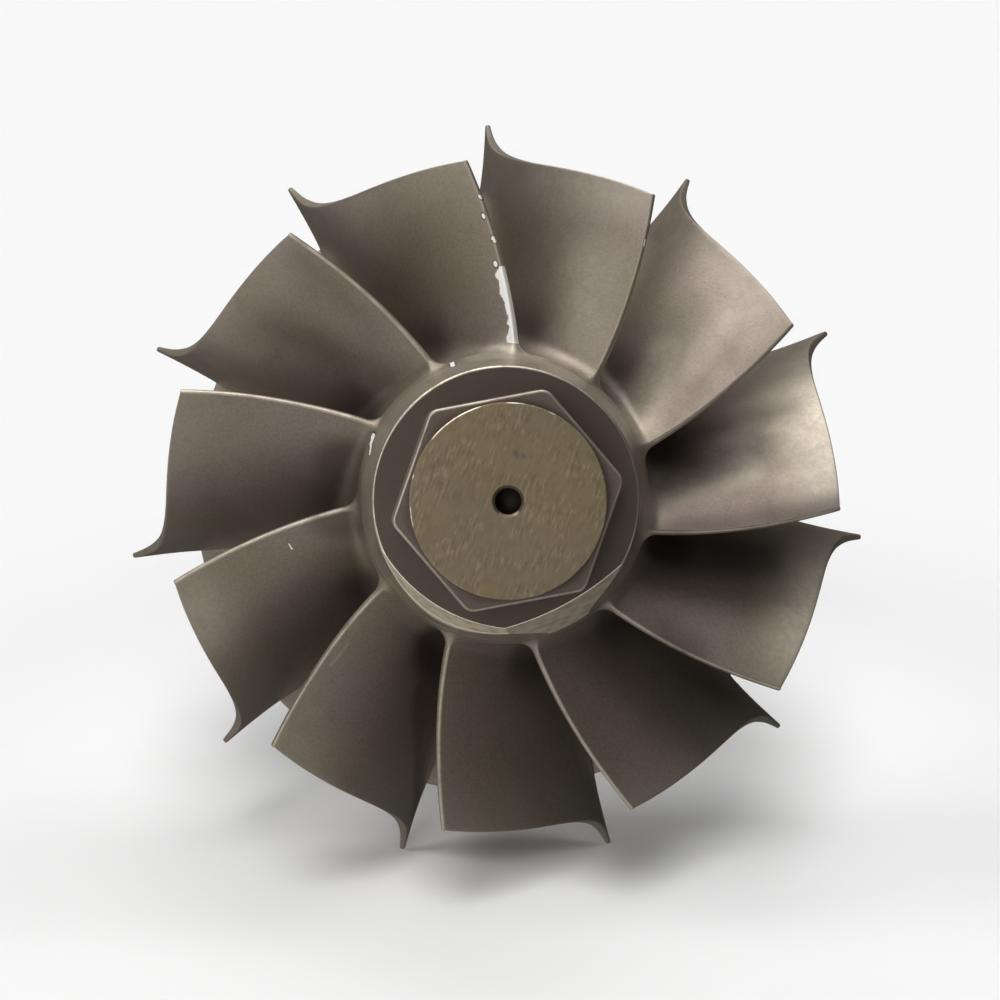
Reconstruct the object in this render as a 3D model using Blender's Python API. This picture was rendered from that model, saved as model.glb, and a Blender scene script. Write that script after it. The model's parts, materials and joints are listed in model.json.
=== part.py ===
"""Turbocharger turbine wheel with its welded shaft, standing on two blade tips and the shaft's end.

Rotor frame: Z runs along the axis towards the nose, with zero at the plane of the blade tips.
X is to the right and Y is up as the nose is looked at. The rotor is tilted nose up to rest.
"""

import math

import bmesh
import bpy
import numpy as np
from mathutils import Matrix, Vector

MM = 0.001
GAP = 0.3 * MM

# The blading
BLADES = 11
TIP_RADIUS = 35.75 * MM
EXIT_RADIUS = 30.4 * MM
EXIT_Z = 22.5 * MM
SHROUD_POWER = 2.35
ROOT_EXIT_Z = 25.4 * MM
ROOT_EXIT_RADIUS = 13.0 * MM
WRAP_LINEAR = math.radians(0.0933) / MM
WRAP_CUBIC = math.radians(0.00228) / MM**3
EDGE_THICKNESS = 0.85 * MM
LEADING_THICKNESS = 0.6 * MM
LEADING_SHARE = 0.25
ROOT_THICKNESS = 1.9 * MM
BELLY_POWER = 1.5
STEPS_ALONG = 14
STEPS_OUT = 6

# The back disc and the hub's flared line
RIM_RADIUS = 29.6 * MM
RIM_Z = -6.0 * MM
RIM_EDGE = 1.3 * MM
DISC_BACK_Z = -8.4 * MM
DISC_FLAT_RADIUS = 23.7 * MM
DISC_SPLIT_Z = -4.4 * MM
RIM_LEAN = math.radians(28)
RIM_PULL = 13.0 * MM
NECK_PULL = 13.5 * MM
HUB_FINE_STEPS = 112
HUB_STRIDE = 4

# The nose
HUB_TOP_Z = 26.4 * MM
COLLAR_RADIUS = 11.65 * MM
COLLAR_TOP_Z = 33.0 * MM
COLLAR_EDGE = 0.3 * MM
COLLAR_FLARE_STEPS = 6
GRIND_FACETS = (
    {"direction": math.radians(242), "lean": math.radians(15), "reach": 10.95 * MM, "radius": 14.5 * MM},
    {"direction": math.radians(296), "lean": math.radians(18), "reach": 10.45 * MM, "radius": 26.0 * MM},
)
HEX_ACROSS_FLATS = 17.5 * MM
HEX_TURN = math.radians(9.3)
HEX_TOP_Z = 38.9 * MM
HEX_CORNER = 0.7 * MM
HEX_CORNER_STEPS = 4
HEX_EDGE = 0.2 * MM
FACE_RADIUS = 8.35 * MM
FACE_TOP_Z = 40.2 * MM
CENTRE_HOLE_RADIUS = 1.1 * MM
CENTRE_HOLE_DEPTH = 4.0 * MM
COUNTERSINK_RADIUS = 1.35 * MM

# The shaft, from the disc's back to its end
WELD_BOSS_RADIUS = 10.2 * MM
WELD_BOSS_FOOT = 1.6 * MM
WELD_BOSS_STEP = 0.8 * MM
WELD_BOSS_END_Z = -12.0 * MM
SEAL_RADIUS = 8.6 * MM
SEAL_END_Z = -24.0 * MM
SEAL_GROOVE_RADIUS = 7.2 * MM
SEAL_GROOVE_Z = -17.0 * MM
SEAL_GROOVE_WIDTH = 1.7 * MM
JOURNAL_RADIUS = 5.5 * MM
JOURNAL_WAIST_RADIUS = 5.0 * MM
JOURNAL_TAPER = 1.0 * MM
JOURNAL_LENGTH = 13.0 * MM
SHOULDER_Z = -78.0 * MM
SHOULDER_LENGTH = 3.0 * MM
JOURNAL_END_Z = SHOULDER_Z + SHOULDER_LENGTH + GAP
STUB_RADIUS = 3.98 * MM
STUB_END_Z = -106.0 * MM
THREAD_RADIUS = 3.9 * MM
THREAD_END_Z = -121.0 * MM
END_CHAMFER = 0.6 * MM

ROUND_STEPS = 6 * BLADES
SHAFT_STEPS = 40
MERGE_DISTANCE = 0.001 * MM
SHARP_ANGLE = math.radians(32)

CAST_ALLOY = ("cast_heat_resistant_alloy", (0.17, 0.15, 0.13), 0.62, 0.75)
TURNED_ALLOY = ("turned_nose_alloy", (0.24, 0.21, 0.16), 0.42, 0.9)
GROUND_ALLOY = ("ground_collar_alloy", (0.30, 0.28, 0.25), 0.38, 0.95)
SHAFT_STEEL = ("ground_shaft_steel", (0.46, 0.46, 0.46), 0.28, 1.0)


def clear_scene():
    """Removes whatever the opened file holds."""
    for item in list(bpy.data.objects):
        bpy.data.objects.remove(item, do_unlink=True)


def finish(spec):
    """Returns the material of a finish, given as its name, colour, roughness and metallic value."""
    name, colour, roughness, metallic = spec
    material = bpy.data.materials.get(name) or bpy.data.materials.new(name)
    material.use_nodes = True
    shader = material.node_tree.nodes["Principled BSDF"]
    shader.inputs["Base Color"].default_value = (*colour, 1.0)
    shader.inputs["Roughness"].default_value = roughness
    shader.inputs["Metallic"].default_value = metallic
    return material


def add_piece(name, mesh_builder, spec, rotor):
    """Makes a named object from a bmesh and hangs it on the rotor's frame."""
    mesh = bpy.data.meshes.new(name)
    bmesh.ops.recalc_face_normals(mesh_builder, faces=mesh_builder.faces)
    mesh_builder.to_mesh(mesh)
    mesh_builder.free()
    mesh.materials.append(finish(spec))
    mesh.shade_smooth()
    mesh.set_sharp_from_angle(angle=SHARP_ANGLE)
    piece = bpy.data.objects.new(name, mesh)
    bpy.context.scene.collection.objects.link(piece)
    piece.parent = rotor
    return piece


def cut_away(piece, cutter):
    """Takes the cutter's shape and finish out of a piece, and keeps the cutter out of sight."""
    cutter.hide_render = True
    cutter.display_type = "WIRE"
    cut = piece.modifiers.new(cutter.name, "BOOLEAN")
    cut.operation = "DIFFERENCE"
    cut.material_mode = "TRANSFER"
    cut.object = cutter


def settle(piece):
    """Works the cuts into a piece's mesh and marks the sharp edges that they left."""
    graph = bpy.context.evaluated_depsgraph_get()
    mesh = bpy.data.meshes.new_from_object(piece.evaluated_get(graph))
    piece.modifiers.clear()
    piece.data = mesh
    mesh.set_sharp_from_angle(angle=SHARP_ANGLE)


def turned(profile, steps):
    """Spins a closed outline of (radius, z) points, or one whose two ends lie on the axis, about Z."""
    builder = bmesh.new()
    points = [builder.verts.new((radius, 0.0, z)) for radius, z in profile]
    edges = [builder.edges.new(pair) for pair in zip(points, points[1:])]
    if min(profile[0][0], profile[-1][0]) > 0:
        edges.append(builder.edges.new((points[-1], points[0])))
    bmesh.ops.spin(
        builder,
        geom=points + edges,
        cent=(0, 0, 0),
        axis=(0, 0, 1),
        angle=math.tau,
        steps=steps,
        use_merge=True,
    )
    bmesh.ops.remove_doubles(builder, verts=builder.verts, dist=MERGE_DISTANCE)
    return builder


def hub_line(count):
    """Returns (radius, z) points down the hub, from the disc's rim to the root of the trailing edge.

    A cubic curve leaves the rim inwards, leaning forward, and arrives along the axis.
    """
    start = Vector((RIM_RADIUS, RIM_Z))
    end = Vector((ROOT_EXIT_RADIUS, ROOT_EXIT_Z))
    leave = start + RIM_PULL * Vector((-math.cos(RIM_LEAN), math.sin(RIM_LEAN)))
    arrive = end - Vector((0, NECK_PULL))
    points = []
    for step in range(count + 1):
        t = step / count
        points.append(
            (1 - t) ** 3 * start
            + 3 * (1 - t) ** 2 * t * leave
            + 3 * (1 - t) * t**2 * arrive
            + t**3 * end
        )
    return np.array(points)


def above_hub(line):
    """Returns the hub line moved out by the gap, square to itself."""
    along = np.gradient(line, axis=0)
    along /= np.linalg.norm(along, axis=1)[:, None]
    return line + GAP * np.column_stack([along[:, 1], -along[:, 0]])


def shroud_line(count):
    """Returns (radius, z) points along the blade's outer edge, from the tip to the trailing edge."""
    z = EXIT_Z * np.linspace(0, 1, count + 1)
    drop = (1 - z / EXIT_Z) ** SHROUD_POWER
    return np.column_stack([EXIT_RADIUS + (TIP_RADIUS - EXIT_RADIUS) * drop, z])


def wrap(z):
    """Returns the blade's angle about the axis, back from its tip, at a height z."""
    return WRAP_LINEAR * z + WRAP_CUBIC * z**3


def wrap_rate(z):
    """Returns how fast the wrap grows with z."""
    return WRAP_LINEAR + 3 * WRAP_CUBIC * z**2


def blade_side(side, tip_angle):
    """Returns the grid of points on one side of a blade, along it and out from its root.

    The blade is made of radial lines: its angle depends on z alone, so the normal has no radial part.
    It is thickest at the middle of its root, and thinnest at its leading edge.
    """
    root = above_hub(hub_line(STEPS_ALONG))
    edge = shroud_line(STEPS_ALONG)
    out = np.linspace(0, 1, STEPS_OUT + 1)[None, :]
    radius = root[:, 0:1] * (1 - out) + edge[:, 0:1] * out
    z = root[:, 1:2] * (1 - out) + edge[:, 1:2] * out
    along = np.linspace(0, 1, STEPS_ALONG + 1)[:, None]
    belly = np.sqrt(np.sin(math.pi * along)) * (1 - out) ** BELLY_POWER
    thinned = np.clip(1 - along / LEADING_SHARE, 0, 1)
    edge_thickness = EDGE_THICKNESS + (LEADING_THICKNESS - EDGE_THICKNESS) * thinned
    half = 0.5 * (edge_thickness + (ROOT_THICKNESS - edge_thickness) * belly)
    slope = radius * wrap_rate(z)
    length = np.sqrt(1 + slope**2)
    moved_z = z + side * half * slope / length
    angle = tip_angle - wrap(z) + side * half / length / radius
    fine = above_hub(hub_line(HUB_FINE_STEPS))
    radius[:, 0] = np.interp(moved_z[:, 0], fine[:, 1], fine[:, 0])
    return np.stack([radius * np.cos(angle), radius * np.sin(angle), moved_z], axis=-1)


def build_blade(tip_angle):
    """Joins the two sides of a blade round its four edges."""
    builder = bmesh.new()
    grids = []
    for side in (1, -1):
        points = blade_side(side, tip_angle)
        grids.append([[builder.verts.new(point) for point in row] for row in points])
    near, far = grids
    for grid in grids:
        for row, following in zip(grid, grid[1:]):
            for corner in range(STEPS_OUT):
                builder.faces.new((row[corner], row[corner + 1], following[corner + 1], following[corner]))
    loop = [(i, 0) for i in range(STEPS_ALONG)]
    loop += [(STEPS_ALONG, j) for j in range(STEPS_OUT)]
    loop += [(i, STEPS_OUT) for i in range(STEPS_ALONG, 0, -1)]
    loop += [(0, j) for j in range(STEPS_OUT, 0, -1)]
    for (i, j), (m, n) in zip(loop, loop[1:] + loop[:1]):
        builder.faces.new((near[i][j], near[m][n], far[m][n], far[i][j]))
    return builder


def build_back_disc():
    """Turns the disc behind the blades, flat at its back, up to the plane where the hub begins."""
    line = hub_line(HUB_FINE_STEPS)
    front = [tuple(point) for point in line[::HUB_STRIDE] if point[1] < DISC_SPLIT_Z - 2 * GAP]
    split_radius = float(np.interp(DISC_SPLIT_Z, line[:, 1], line[:, 0]))
    profile = [(0.0, DISC_SPLIT_Z), (split_radius, DISC_SPLIT_Z)]
    profile += front[::-1]
    profile += [(RIM_RADIUS, RIM_Z - RIM_EDGE), (DISC_FLAT_RADIUS, DISC_BACK_Z), (0.0, DISC_BACK_Z)]
    return turned(profile, ROUND_STEPS)


def build_hub():
    """Turns the flared core that the blades stand on."""
    line = hub_line(HUB_FINE_STEPS)
    foot_z = DISC_SPLIT_Z + GAP
    foot_radius = float(np.interp(foot_z, line[:, 1], line[:, 0]))
    flank = [tuple(point) for point in line[::HUB_STRIDE] if point[1] > foot_z + GAP]
    profile = [(0.0, foot_z), (foot_radius, foot_z)]
    profile += flank
    profile += [(flare_radius(HUB_TOP_Z), HUB_TOP_Z), (0.0, HUB_TOP_Z)]
    return turned(profile, ROUND_STEPS)


def flare_radius(z):
    """Returns the collar's radius at a height z: it narrows from the hub's top in a hollow curve."""
    rise = (z - ROOT_EXIT_Z) / (COLLAR_TOP_Z - ROOT_EXIT_Z)
    return COLLAR_RADIUS + (ROOT_EXIT_RADIUS - COLLAR_RADIUS) * (1 - rise) ** 2


def build_collar():
    """Turns the tapered collar in front of the blades."""
    foot_z = HUB_TOP_Z + GAP
    profile = [(0.0, foot_z)]
    for z in np.linspace(foot_z, COLLAR_TOP_Z - COLLAR_EDGE, COLLAR_FLARE_STEPS):
        profile.append((flare_radius(z), z))
    profile += [(COLLAR_RADIUS - COLLAR_EDGE, COLLAR_TOP_Z), (0.0, COLLAR_TOP_Z)]
    return turned(profile, ROUND_STEPS)


def build_grinder(facet):
    """Makes the cutter of one ground facet: the wall of a leaning tube that the collar stands in.

    The tube's inner side touches the collar in one direction only, and leans outwards below its top.
    """
    inner = facet["radius"]
    outer = inner + COLLAR_RADIUS
    half = COLLAR_RADIUS
    builder = turned([(inner, -half), (outer, -half), (outer, half), (inner, half)], ROUND_STEPS)
    centre = Vector((facet["reach"] - inner / math.cos(facet["lean"]), 0, COLLAR_TOP_Z))
    lean = Matrix.Rotation(-facet["lean"], 4, "Y")
    turn = Matrix.Rotation(facet["direction"], 4, "Z")
    bmesh.ops.transform(builder, matrix=turn @ Matrix.Translation(centre) @ lean, verts=builder.verts)
    return builder


def build_hex():
    """Makes the six-sided boss, with its front edge broken.

    The cone tool's first corner lies on +Y, which is half a side past a corner on +X.
    """
    builder = bmesh.new()
    half_side = math.pi / 6
    corner_radius = HEX_ACROSS_FLATS / 2 / math.cos(half_side)
    bottom = COLLAR_TOP_Z + GAP
    middle = Matrix.Translation((0, 0, (bottom + HEX_TOP_Z) / 2))
    bmesh.ops.create_cone(
        builder,
        cap_ends=True,
        segments=6,
        radius1=corner_radius,
        radius2=corner_radius,
        depth=HEX_TOP_Z - bottom,
        matrix=middle @ Matrix.Rotation(HEX_TURN + half_side, 4, "Z"),
    )
    uprights = [edge for edge in builder.edges if abs(edge.verts[0].co.z - edge.verts[1].co.z) > GAP]
    bmesh.ops.bevel(
        builder,
        geom=uprights,
        offset=HEX_CORNER,
        segments=HEX_CORNER_STEPS,
        affect="EDGES",
        profile=0.5,
    )
    top = [edge for edge in builder.edges if min(v.co.z for v in edge.verts) > HEX_TOP_Z - GAP]
    bmesh.ops.bevel(builder, geom=top, offset=HEX_EDGE, segments=1, affect="EDGES", profile=0.5)
    return builder


def build_hole_cutter():
    """Makes the drill that carries the centre hole down into the hexagon."""
    builder = bmesh.new()
    bmesh.ops.create_cone(
        builder,
        cap_ends=True,
        segments=SHAFT_STEPS,
        radius1=CENTRE_HOLE_RADIUS,
        radius2=CENTRE_HOLE_RADIUS,
        depth=2 * CENTRE_HOLE_DEPTH,
        matrix=Matrix.Translation((0, 0, FACE_TOP_Z)),
    )
    return builder


def build_face():
    """Turns the round face on the hexagon, with its small centre hole."""
    sink = COUNTERSINK_RADIUS - CENTRE_HOLE_RADIUS
    profile = [
        (CENTRE_HOLE_RADIUS, HEX_TOP_Z + GAP),
        (FACE_RADIUS, HEX_TOP_Z + GAP),
        (FACE_RADIUS, FACE_TOP_Z),
        (COUNTERSINK_RADIUS, FACE_TOP_Z),
        (CENTRE_HOLE_RADIUS, FACE_TOP_Z - sink),
    ]
    return turned(profile, SHAFT_STEPS)


def shaft_stage(outline):
    """Turns one stage of the shaft from its outline of (radius, z) points, front to back."""
    return turned([(0.0, outline[0][1]), *outline, (0.0, outline[-1][1])], SHAFT_STEPS)


def build_weld_boss():
    """Turns the boss that the shaft is welded to."""
    front = DISC_BACK_Z - GAP
    return shaft_stage(
        [
            (WELD_BOSS_RADIUS + WELD_BOSS_FOOT, front),
            (WELD_BOSS_RADIUS, front - WELD_BOSS_FOOT),
            (WELD_BOSS_RADIUS, WELD_BOSS_END_Z + WELD_BOSS_STEP),
            (SEAL_RADIUS, WELD_BOSS_END_Z),
        ]
    )


def build_seal_boss():
    """Turns the boss with the groove for the seal ring."""
    groove_front = SEAL_GROOVE_Z + SEAL_GROOVE_WIDTH / 2
    groove_back = SEAL_GROOVE_Z - SEAL_GROOVE_WIDTH / 2
    return shaft_stage(
        [
            (SEAL_RADIUS, WELD_BOSS_END_Z - GAP),
            (SEAL_RADIUS, groove_front),
            (SEAL_GROOVE_RADIUS, groove_front),
            (SEAL_GROOVE_RADIUS, groove_back),
            (SEAL_RADIUS, groove_back),
            (SEAL_RADIUS, SEAL_END_Z + END_CHAMFER),
            (SEAL_RADIUS - END_CHAMFER, SEAL_END_Z),
        ]
    )


def build_journal():
    """Turns the shaft between the bearings, with its thinner waist."""
    front = SEAL_END_Z - GAP
    return shaft_stage(
        [
            (JOURNAL_RADIUS, front),
            (JOURNAL_RADIUS, front - JOURNAL_LENGTH),
            (JOURNAL_WAIST_RADIUS, front - JOURNAL_LENGTH - JOURNAL_TAPER),
            (JOURNAL_WAIST_RADIUS, JOURNAL_END_Z + JOURNAL_LENGTH + JOURNAL_TAPER),
            (JOURNAL_RADIUS, JOURNAL_END_Z + JOURNAL_LENGTH),
            (JOURNAL_RADIUS, JOURNAL_END_Z),
        ]
    )


def build_stub():
    """Turns the shoulder and the thin stage behind it, which a compressor wheel is clamped on."""
    return shaft_stage(
        [
            (JOURNAL_RADIUS, JOURNAL_END_Z - GAP),
            (JOURNAL_RADIUS, SHOULDER_Z),
            (STUB_RADIUS, SHOULDER_Z),
            (STUB_RADIUS, STUB_END_Z),
        ]
    )


def build_thread():
    """Turns the threaded end at the thread's outer diameter."""
    return shaft_stage(
        [
            (THREAD_RADIUS, STUB_END_Z - GAP),
            (THREAD_RADIUS, THREAD_END_Z + END_CHAMFER),
            (THREAD_RADIUS - END_CHAMFER, THREAD_END_Z),
        ]
    )


def rest_tilt():
    """Returns how far the nose rises when two blade tips and the shaft's end touch level ground."""
    half_pitch = math.pi / BLADES
    contact_angle = half_pitch - LEADING_THICKNESS / 2 / TIP_RADIUS
    tip_drop = TIP_RADIUS * math.cos(contact_angle)
    end_reach = -(THREAD_END_Z + END_CHAMFER)
    return math.atan2(tip_drop - THREAD_RADIUS, end_reach)


def stand_on_ground(rotor):
    """Tilts the rotor to rest, then puts the middle of its footprint at the origin, on the ground."""
    rotor.rotation_euler = (math.pi / 2 - rest_tilt(), 0, 0)
    bpy.context.view_layer.update()
    corners = []
    for piece in rotor.children:
        if not piece.hide_render:
            corners += [piece.matrix_world @ vertex.co for vertex in piece.data.vertices]
    points = np.array(corners)
    low = points.min(axis=0)
    high = points.max(axis=0)
    rotor.location = (-(low[0] + high[0]) / 2, -(low[1] + high[1]) / 2, -low[2])


def main():
    """Builds every piece of the rotor and stands it on the ground."""
    clear_scene()
    rotor = bpy.data.objects.new("rotor_axis", None)
    bpy.context.scene.collection.objects.link(rotor)
    add_piece("hub", build_hub(), CAST_ALLOY, rotor)
    add_piece("back_disc", build_back_disc(), CAST_ALLOY, rotor)
    for number in range(1, BLADES + 1):
        tip_angle = math.pi / 2 + number * math.tau / BLADES
        add_piece(f"blade_{number:02d}", build_blade(tip_angle), CAST_ALLOY, rotor)
    collar = add_piece("nose_collar", build_collar(), CAST_ALLOY, rotor)
    for number, facet in enumerate(GRIND_FACETS, start=1):
        cut_away(collar, add_piece(f"grinder_{number}", build_grinder(facet), GROUND_ALLOY, rotor))
    settle(collar)
    hexagon = add_piece("nose_hexagon", build_hex(), CAST_ALLOY, rotor)
    cut_away(hexagon, add_piece("hole_cutter", build_hole_cutter(), TURNED_ALLOY, rotor))
    settle(hexagon)
    add_piece("nose_face", build_face(), TURNED_ALLOY, rotor)
    add_piece("weld_boss", build_weld_boss(), SHAFT_STEEL, rotor)
    add_piece("seal_boss", build_seal_boss(), SHAFT_STEEL, rotor)
    add_piece("bearing_journal", build_journal(), SHAFT_STEEL, rotor)
    add_piece("compressor_stub", build_stub(), SHAFT_STEEL, rotor)
    add_piece("threaded_end", build_thread(), SHAFT_STEEL, rotor)
    stand_on_ground(rotor)


main()
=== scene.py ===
"""Dresses the turbine wheel: its fine casting with rubbed edges, painted highlights and painted shade, the
turned nose and the ground shaft.

Shapes are worked out in the rotor's frame, in millimetres: Z runs along the axis towards the nose, with
zero at the plane of the blade tips, X is to the right and Y is up as the nose is looked at.
"""

import json
import logging
import math
from dataclasses import dataclass, field
from enum import Enum
from typing import Any, Mapping, Sequence

import bmesh
import bpy
import numpy as np
from mathutils import Matrix, Vector
from mathutils.bvhtree import BVHTree


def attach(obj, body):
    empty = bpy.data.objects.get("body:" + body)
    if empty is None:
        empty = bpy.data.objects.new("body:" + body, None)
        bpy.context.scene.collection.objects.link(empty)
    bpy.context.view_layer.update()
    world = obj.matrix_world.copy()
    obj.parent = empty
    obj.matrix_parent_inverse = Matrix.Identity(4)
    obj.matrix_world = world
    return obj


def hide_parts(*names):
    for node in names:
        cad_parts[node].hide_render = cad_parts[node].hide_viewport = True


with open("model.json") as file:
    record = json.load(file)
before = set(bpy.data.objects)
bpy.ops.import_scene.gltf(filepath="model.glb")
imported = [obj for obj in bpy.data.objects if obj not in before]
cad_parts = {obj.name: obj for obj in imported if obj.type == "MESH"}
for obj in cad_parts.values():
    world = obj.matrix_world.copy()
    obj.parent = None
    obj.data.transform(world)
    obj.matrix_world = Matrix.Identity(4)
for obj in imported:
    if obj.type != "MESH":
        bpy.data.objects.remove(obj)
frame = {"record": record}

LOG = logging.getLogger("turbine_wheel")
MM = 0.001
BODY = "root"
MERGE_DISTANCE = 1e-7
SHARP_ANGLE = math.radians(38)
RIPPLE_WAVES = 7
RIPPLE_SPREAD = (0.7, 1.4)
CORNER_STEPS = 5
SPLIT_GAP = 0.02
# Painted shade: how dark the centre hole's walls are painted.
DEEP_SHADE = 2.0
NOISE_MIDDLE = 0.5
PHOTO_PIXELS = 1000


class Slot(Enum):
    """The record's material slots."""

    CAST = "cast_alloy"
    TURNED = "turned_alloy"
    SHAFT = "shaft_steel"


class Mask(Enum):
    """What a point attribute marks on a piece: 0 is nothing and 1 is full, and some places have more."""

    # Edges, rubbed and partly painted as highlights where they catch the light.
    EDGE_AND_HIGHLIGHT = "worn_edge_and_highlight"
    BARE = "bare_metal"
    # Ground facets, lightened partly as a painted reflection.
    GROUND_AND_REFLECTION = "ground_facet_and_reflection"
    # Painted highlight along the edges of the ground facets.
    LINE_HIGHLIGHT = "facet_line_highlight"
    # Painted shade: darkening in hollows, corners, passages and the centre hole.
    SHADE = "painted_shade"
    TINT = "heat_tint"


@dataclass(frozen=True)
class RotorFrame:
    """Where the rotor stands: its origin in metres and its three axes, as columns of a matrix."""

    origin: np.ndarray
    axes: np.ndarray

    @classmethod
    def from_record(cls, record: Mapping[str, Any], shaft_end_z: float) -> "RotorFrame":
        """Works out the rotor's frame from the mount at the shaft's end.

        Args:
            record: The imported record, whose shaft_end mount lies on the axis and looks away from the nose.
            shaft_end_z: The Z of that end in the rotor's frame, in millimetres.

        Returns:
            The frame.
        """
        mount = next(item for item in record["mounts"] if item["name"] == "shaft_end")
        nose = -np.array(mount["axis"], float)
        nose /= np.linalg.norm(nose)
        right = np.array([1.0, 0.0, 0.0])
        up = np.cross(nose, right)
        origin = np.array(mount["pos_m"], float) - nose * shaft_end_z * MM
        return cls(origin, np.column_stack([right, up, nose]))

    def to_world(self, points: np.ndarray) -> np.ndarray:
        """Returns points given in millimetres in the rotor's frame as metres in the world."""
        return points * MM @ self.axes.T + self.origin

    def matrix(self) -> Matrix:
        """Puts the frame in a matrix.

        Returns:
            The matrix, in metres.
        """
        whole = np.eye(4)
        whole[:3, :3] = self.axes
        whole[:3, 3] = self.origin
        return Matrix(whole.tolist())


def polar(radius: np.ndarray, angle: np.ndarray, z: np.ndarray) -> np.ndarray:
    """Returns points from their radius, their angle about the axis and their Z."""
    radius, angle, z = np.broadcast_arrays(radius, angle, z)
    return np.stack([radius * np.cos(angle), radius * np.sin(angle), z], axis=-1)


def unit(vectors: np.ndarray) -> np.ndarray:
    """Returns vectors scaled to a length of one."""
    return vectors / np.linalg.norm(vectors, axis=-1, keepdims=True)


def smooth_step(low: float, high: float, value: np.ndarray) -> np.ndarray:
    """Returns 0 below low and 1 above high, with a smooth rise of 3t^2 - 2t^3 between them."""
    t = np.clip((value - low) / (high - low), 0, 1)
    return t * t * (3 - 2 * t)


def quarter_turn(steps: int) -> np.ndarray:
    """Returns the angles from 0 to a right angle, both included, in a number of steps."""
    return np.linspace(0, math.pi / 2, steps + 1)


def ripple(points: np.ndarray, wavelength: float, seed: int) -> np.ndarray:
    """Returns an uneven height over points: the mean of sine waves that cross in several directions.

    Args:
        points: The places, in millimetres.
        wavelength: The waves' usual length, in millimetres.
        seed: The number that fixes the waves' directions.

    Returns:
        A height for each point, mostly between -0.5 and 0.5.
    """
    chance = np.random.default_rng(seed)
    directions = unit(chance.normal(size=(RIPPLE_WAVES, 3)))
    lengths = wavelength * chance.uniform(*RIPPLE_SPREAD, (RIPPLE_WAVES, 1))
    phases = chance.uniform(0, math.tau, RIPPLE_WAVES)
    return np.sin(points @ (directions / lengths).T * math.tau + phases).mean(axis=-1)


class Skin:
    """A closed surface of rings of points, each joined to the next, with masks that follow its points."""

    def __init__(self, points: np.ndarray, masks: Mapping[Mask, np.ndarray] | None = None) -> None:
        """Joins the rings.

        Args:
            points: The points, by ring and by place in it, in millimetres in the rotor's frame.
            masks: The masks on them, in a layout that fits theirs; a mask that is left out is 0.
        """
        layout = points.shape[:-1]
        self.points = points.reshape(-1, 3)
        self.masks = {
            mask: np.broadcast_to(values, layout).astype(np.float32).ravel()
            for mask, values in (masks or {}).items()
        }
        self.numbers = np.arange(len(self.points)).reshape(layout)
        rings = self.numbers
        following = np.roll(rings, -1, axis=1)
        quads = np.stack([rings[:-1], following[:-1], following[1:], rings[1:]], axis=-1)
        self.faces: list[list[int]] = quads.reshape(-1, 4).tolist()

    def close_end(self, row: int, turned: bool) -> None:
        """Closes a narrow end ring by joining each point to the one across from it.

        Args:
            row: The ring, which starts in the middle of one of its own ends.
            turned: Whether the faces run the other way round.
        """
        ring = self.numbers[row]
        half = len(ring) // 2
        near = ring[1:half]
        far = ring[:half:-1]
        quads = np.stack([near[:-1], near[1:], far[1:], far[:-1]], axis=-1)
        ends = [[ring[0], near[0], far[0]], [near[-1], ring[half], far[-1]]]
        faces = quads.tolist() + [[int(number) for number in end] for end in ends]
        self.faces += [face[::-1] for face in faces] if turned else faces

    def build(self, name: str, place: RotorFrame) -> bpy.types.Object:
        """Makes the object at the origin, with its poles merged and its faces pointing out.

        Args:
            name: The piece's name.
            place: Where the rotor stands.

        Returns:
            The new object.
        """
        mesh = bpy.data.meshes.new(name)
        mesh.from_pydata(place.to_world(self.points).tolist(), [], self.faces)
        for mask, values in self.masks.items():
            if values.any():
                mesh.attributes.new(mask.value, "FLOAT", "POINT").data.foreach_set("value", values)
        builder = bmesh.new()
        builder.from_mesh(mesh)
        bmesh.ops.remove_doubles(builder, verts=builder.verts, dist=MERGE_DISTANCE)
        bmesh.ops.dissolve_degenerate(builder, edges=builder.edges, dist=MERGE_DISTANCE)
        bmesh.ops.recalc_face_normals(builder, faces=builder.faces)
        if builder.calc_volume(signed=True) < 0:
            bmesh.ops.reverse_faces(builder, faces=builder.faces)
        builder.to_mesh(mesh)
        builder.free()
        mesh.shade_smooth()
        mesh.set_sharp_from_angle(angle=SHARP_ANGLE)
        piece = bpy.data.objects.new(name, mesh)
        bpy.context.scene.collection.objects.link(piece)
        return piece


def revolve(profile: np.ndarray, steps: int) -> np.ndarray:
    """Returns a grid of points: each (radius, z) point of the profile carried round the axis.

    Args:
        profile: The (radius, z) points, one row each.
        steps: How many points make a ring.

    Returns:
        Points of shape (profile length, steps, 3).
    """
    angle = np.arange(steps) * math.tau / steps
    return polar(profile[:, :1], angle[None, :], profile[:, 1:])


def round_corner(corner: tuple[float, float], into: tuple[float, float], out: tuple[float, float],
                 size: float) -> list[tuple[float, float]]:
    """Rounds a corner of a profile with the curve (1-t)^2 a + 2t(1-t) c + t^2 b.

    Args:
        corner: The sharp corner c.
        into: The profile's point before it.
        out: The profile's point after it.
        size: How far from the corner the curve starts, at a, and ends, at b.

    Returns:
        The curve's points.
    """
    c = np.array(corner, float)
    a = c + unit(np.array(into, float) - c) * size
    b = c + unit(np.array(out, float) - c) * size
    t = np.linspace(0, 1, CORNER_STEPS + 1)[:, None]
    return [tuple(point) for point in (1 - t) ** 2 * a + 2 * t * (1 - t) * c + t**2 * b]


def rounded_profile(corners: Sequence[tuple[float, float, float]]) -> np.ndarray:
    """Returns a profile with its corners rounded, each by its own size.

    Args:
        corners: The (radius, z, size) corners in order; a size of 0 leaves the corner sharp.

    Returns:
        The profile's points.
    """
    line: list[tuple[float, float]] = []
    for number, (radius, z, size) in enumerate(corners):
        if size > 0:
            line += round_corner((radius, z), corners[number - 1][:2], corners[number + 1][:2], size)
        else:
            line.append((radius, z))
    return np.array(line)


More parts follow.
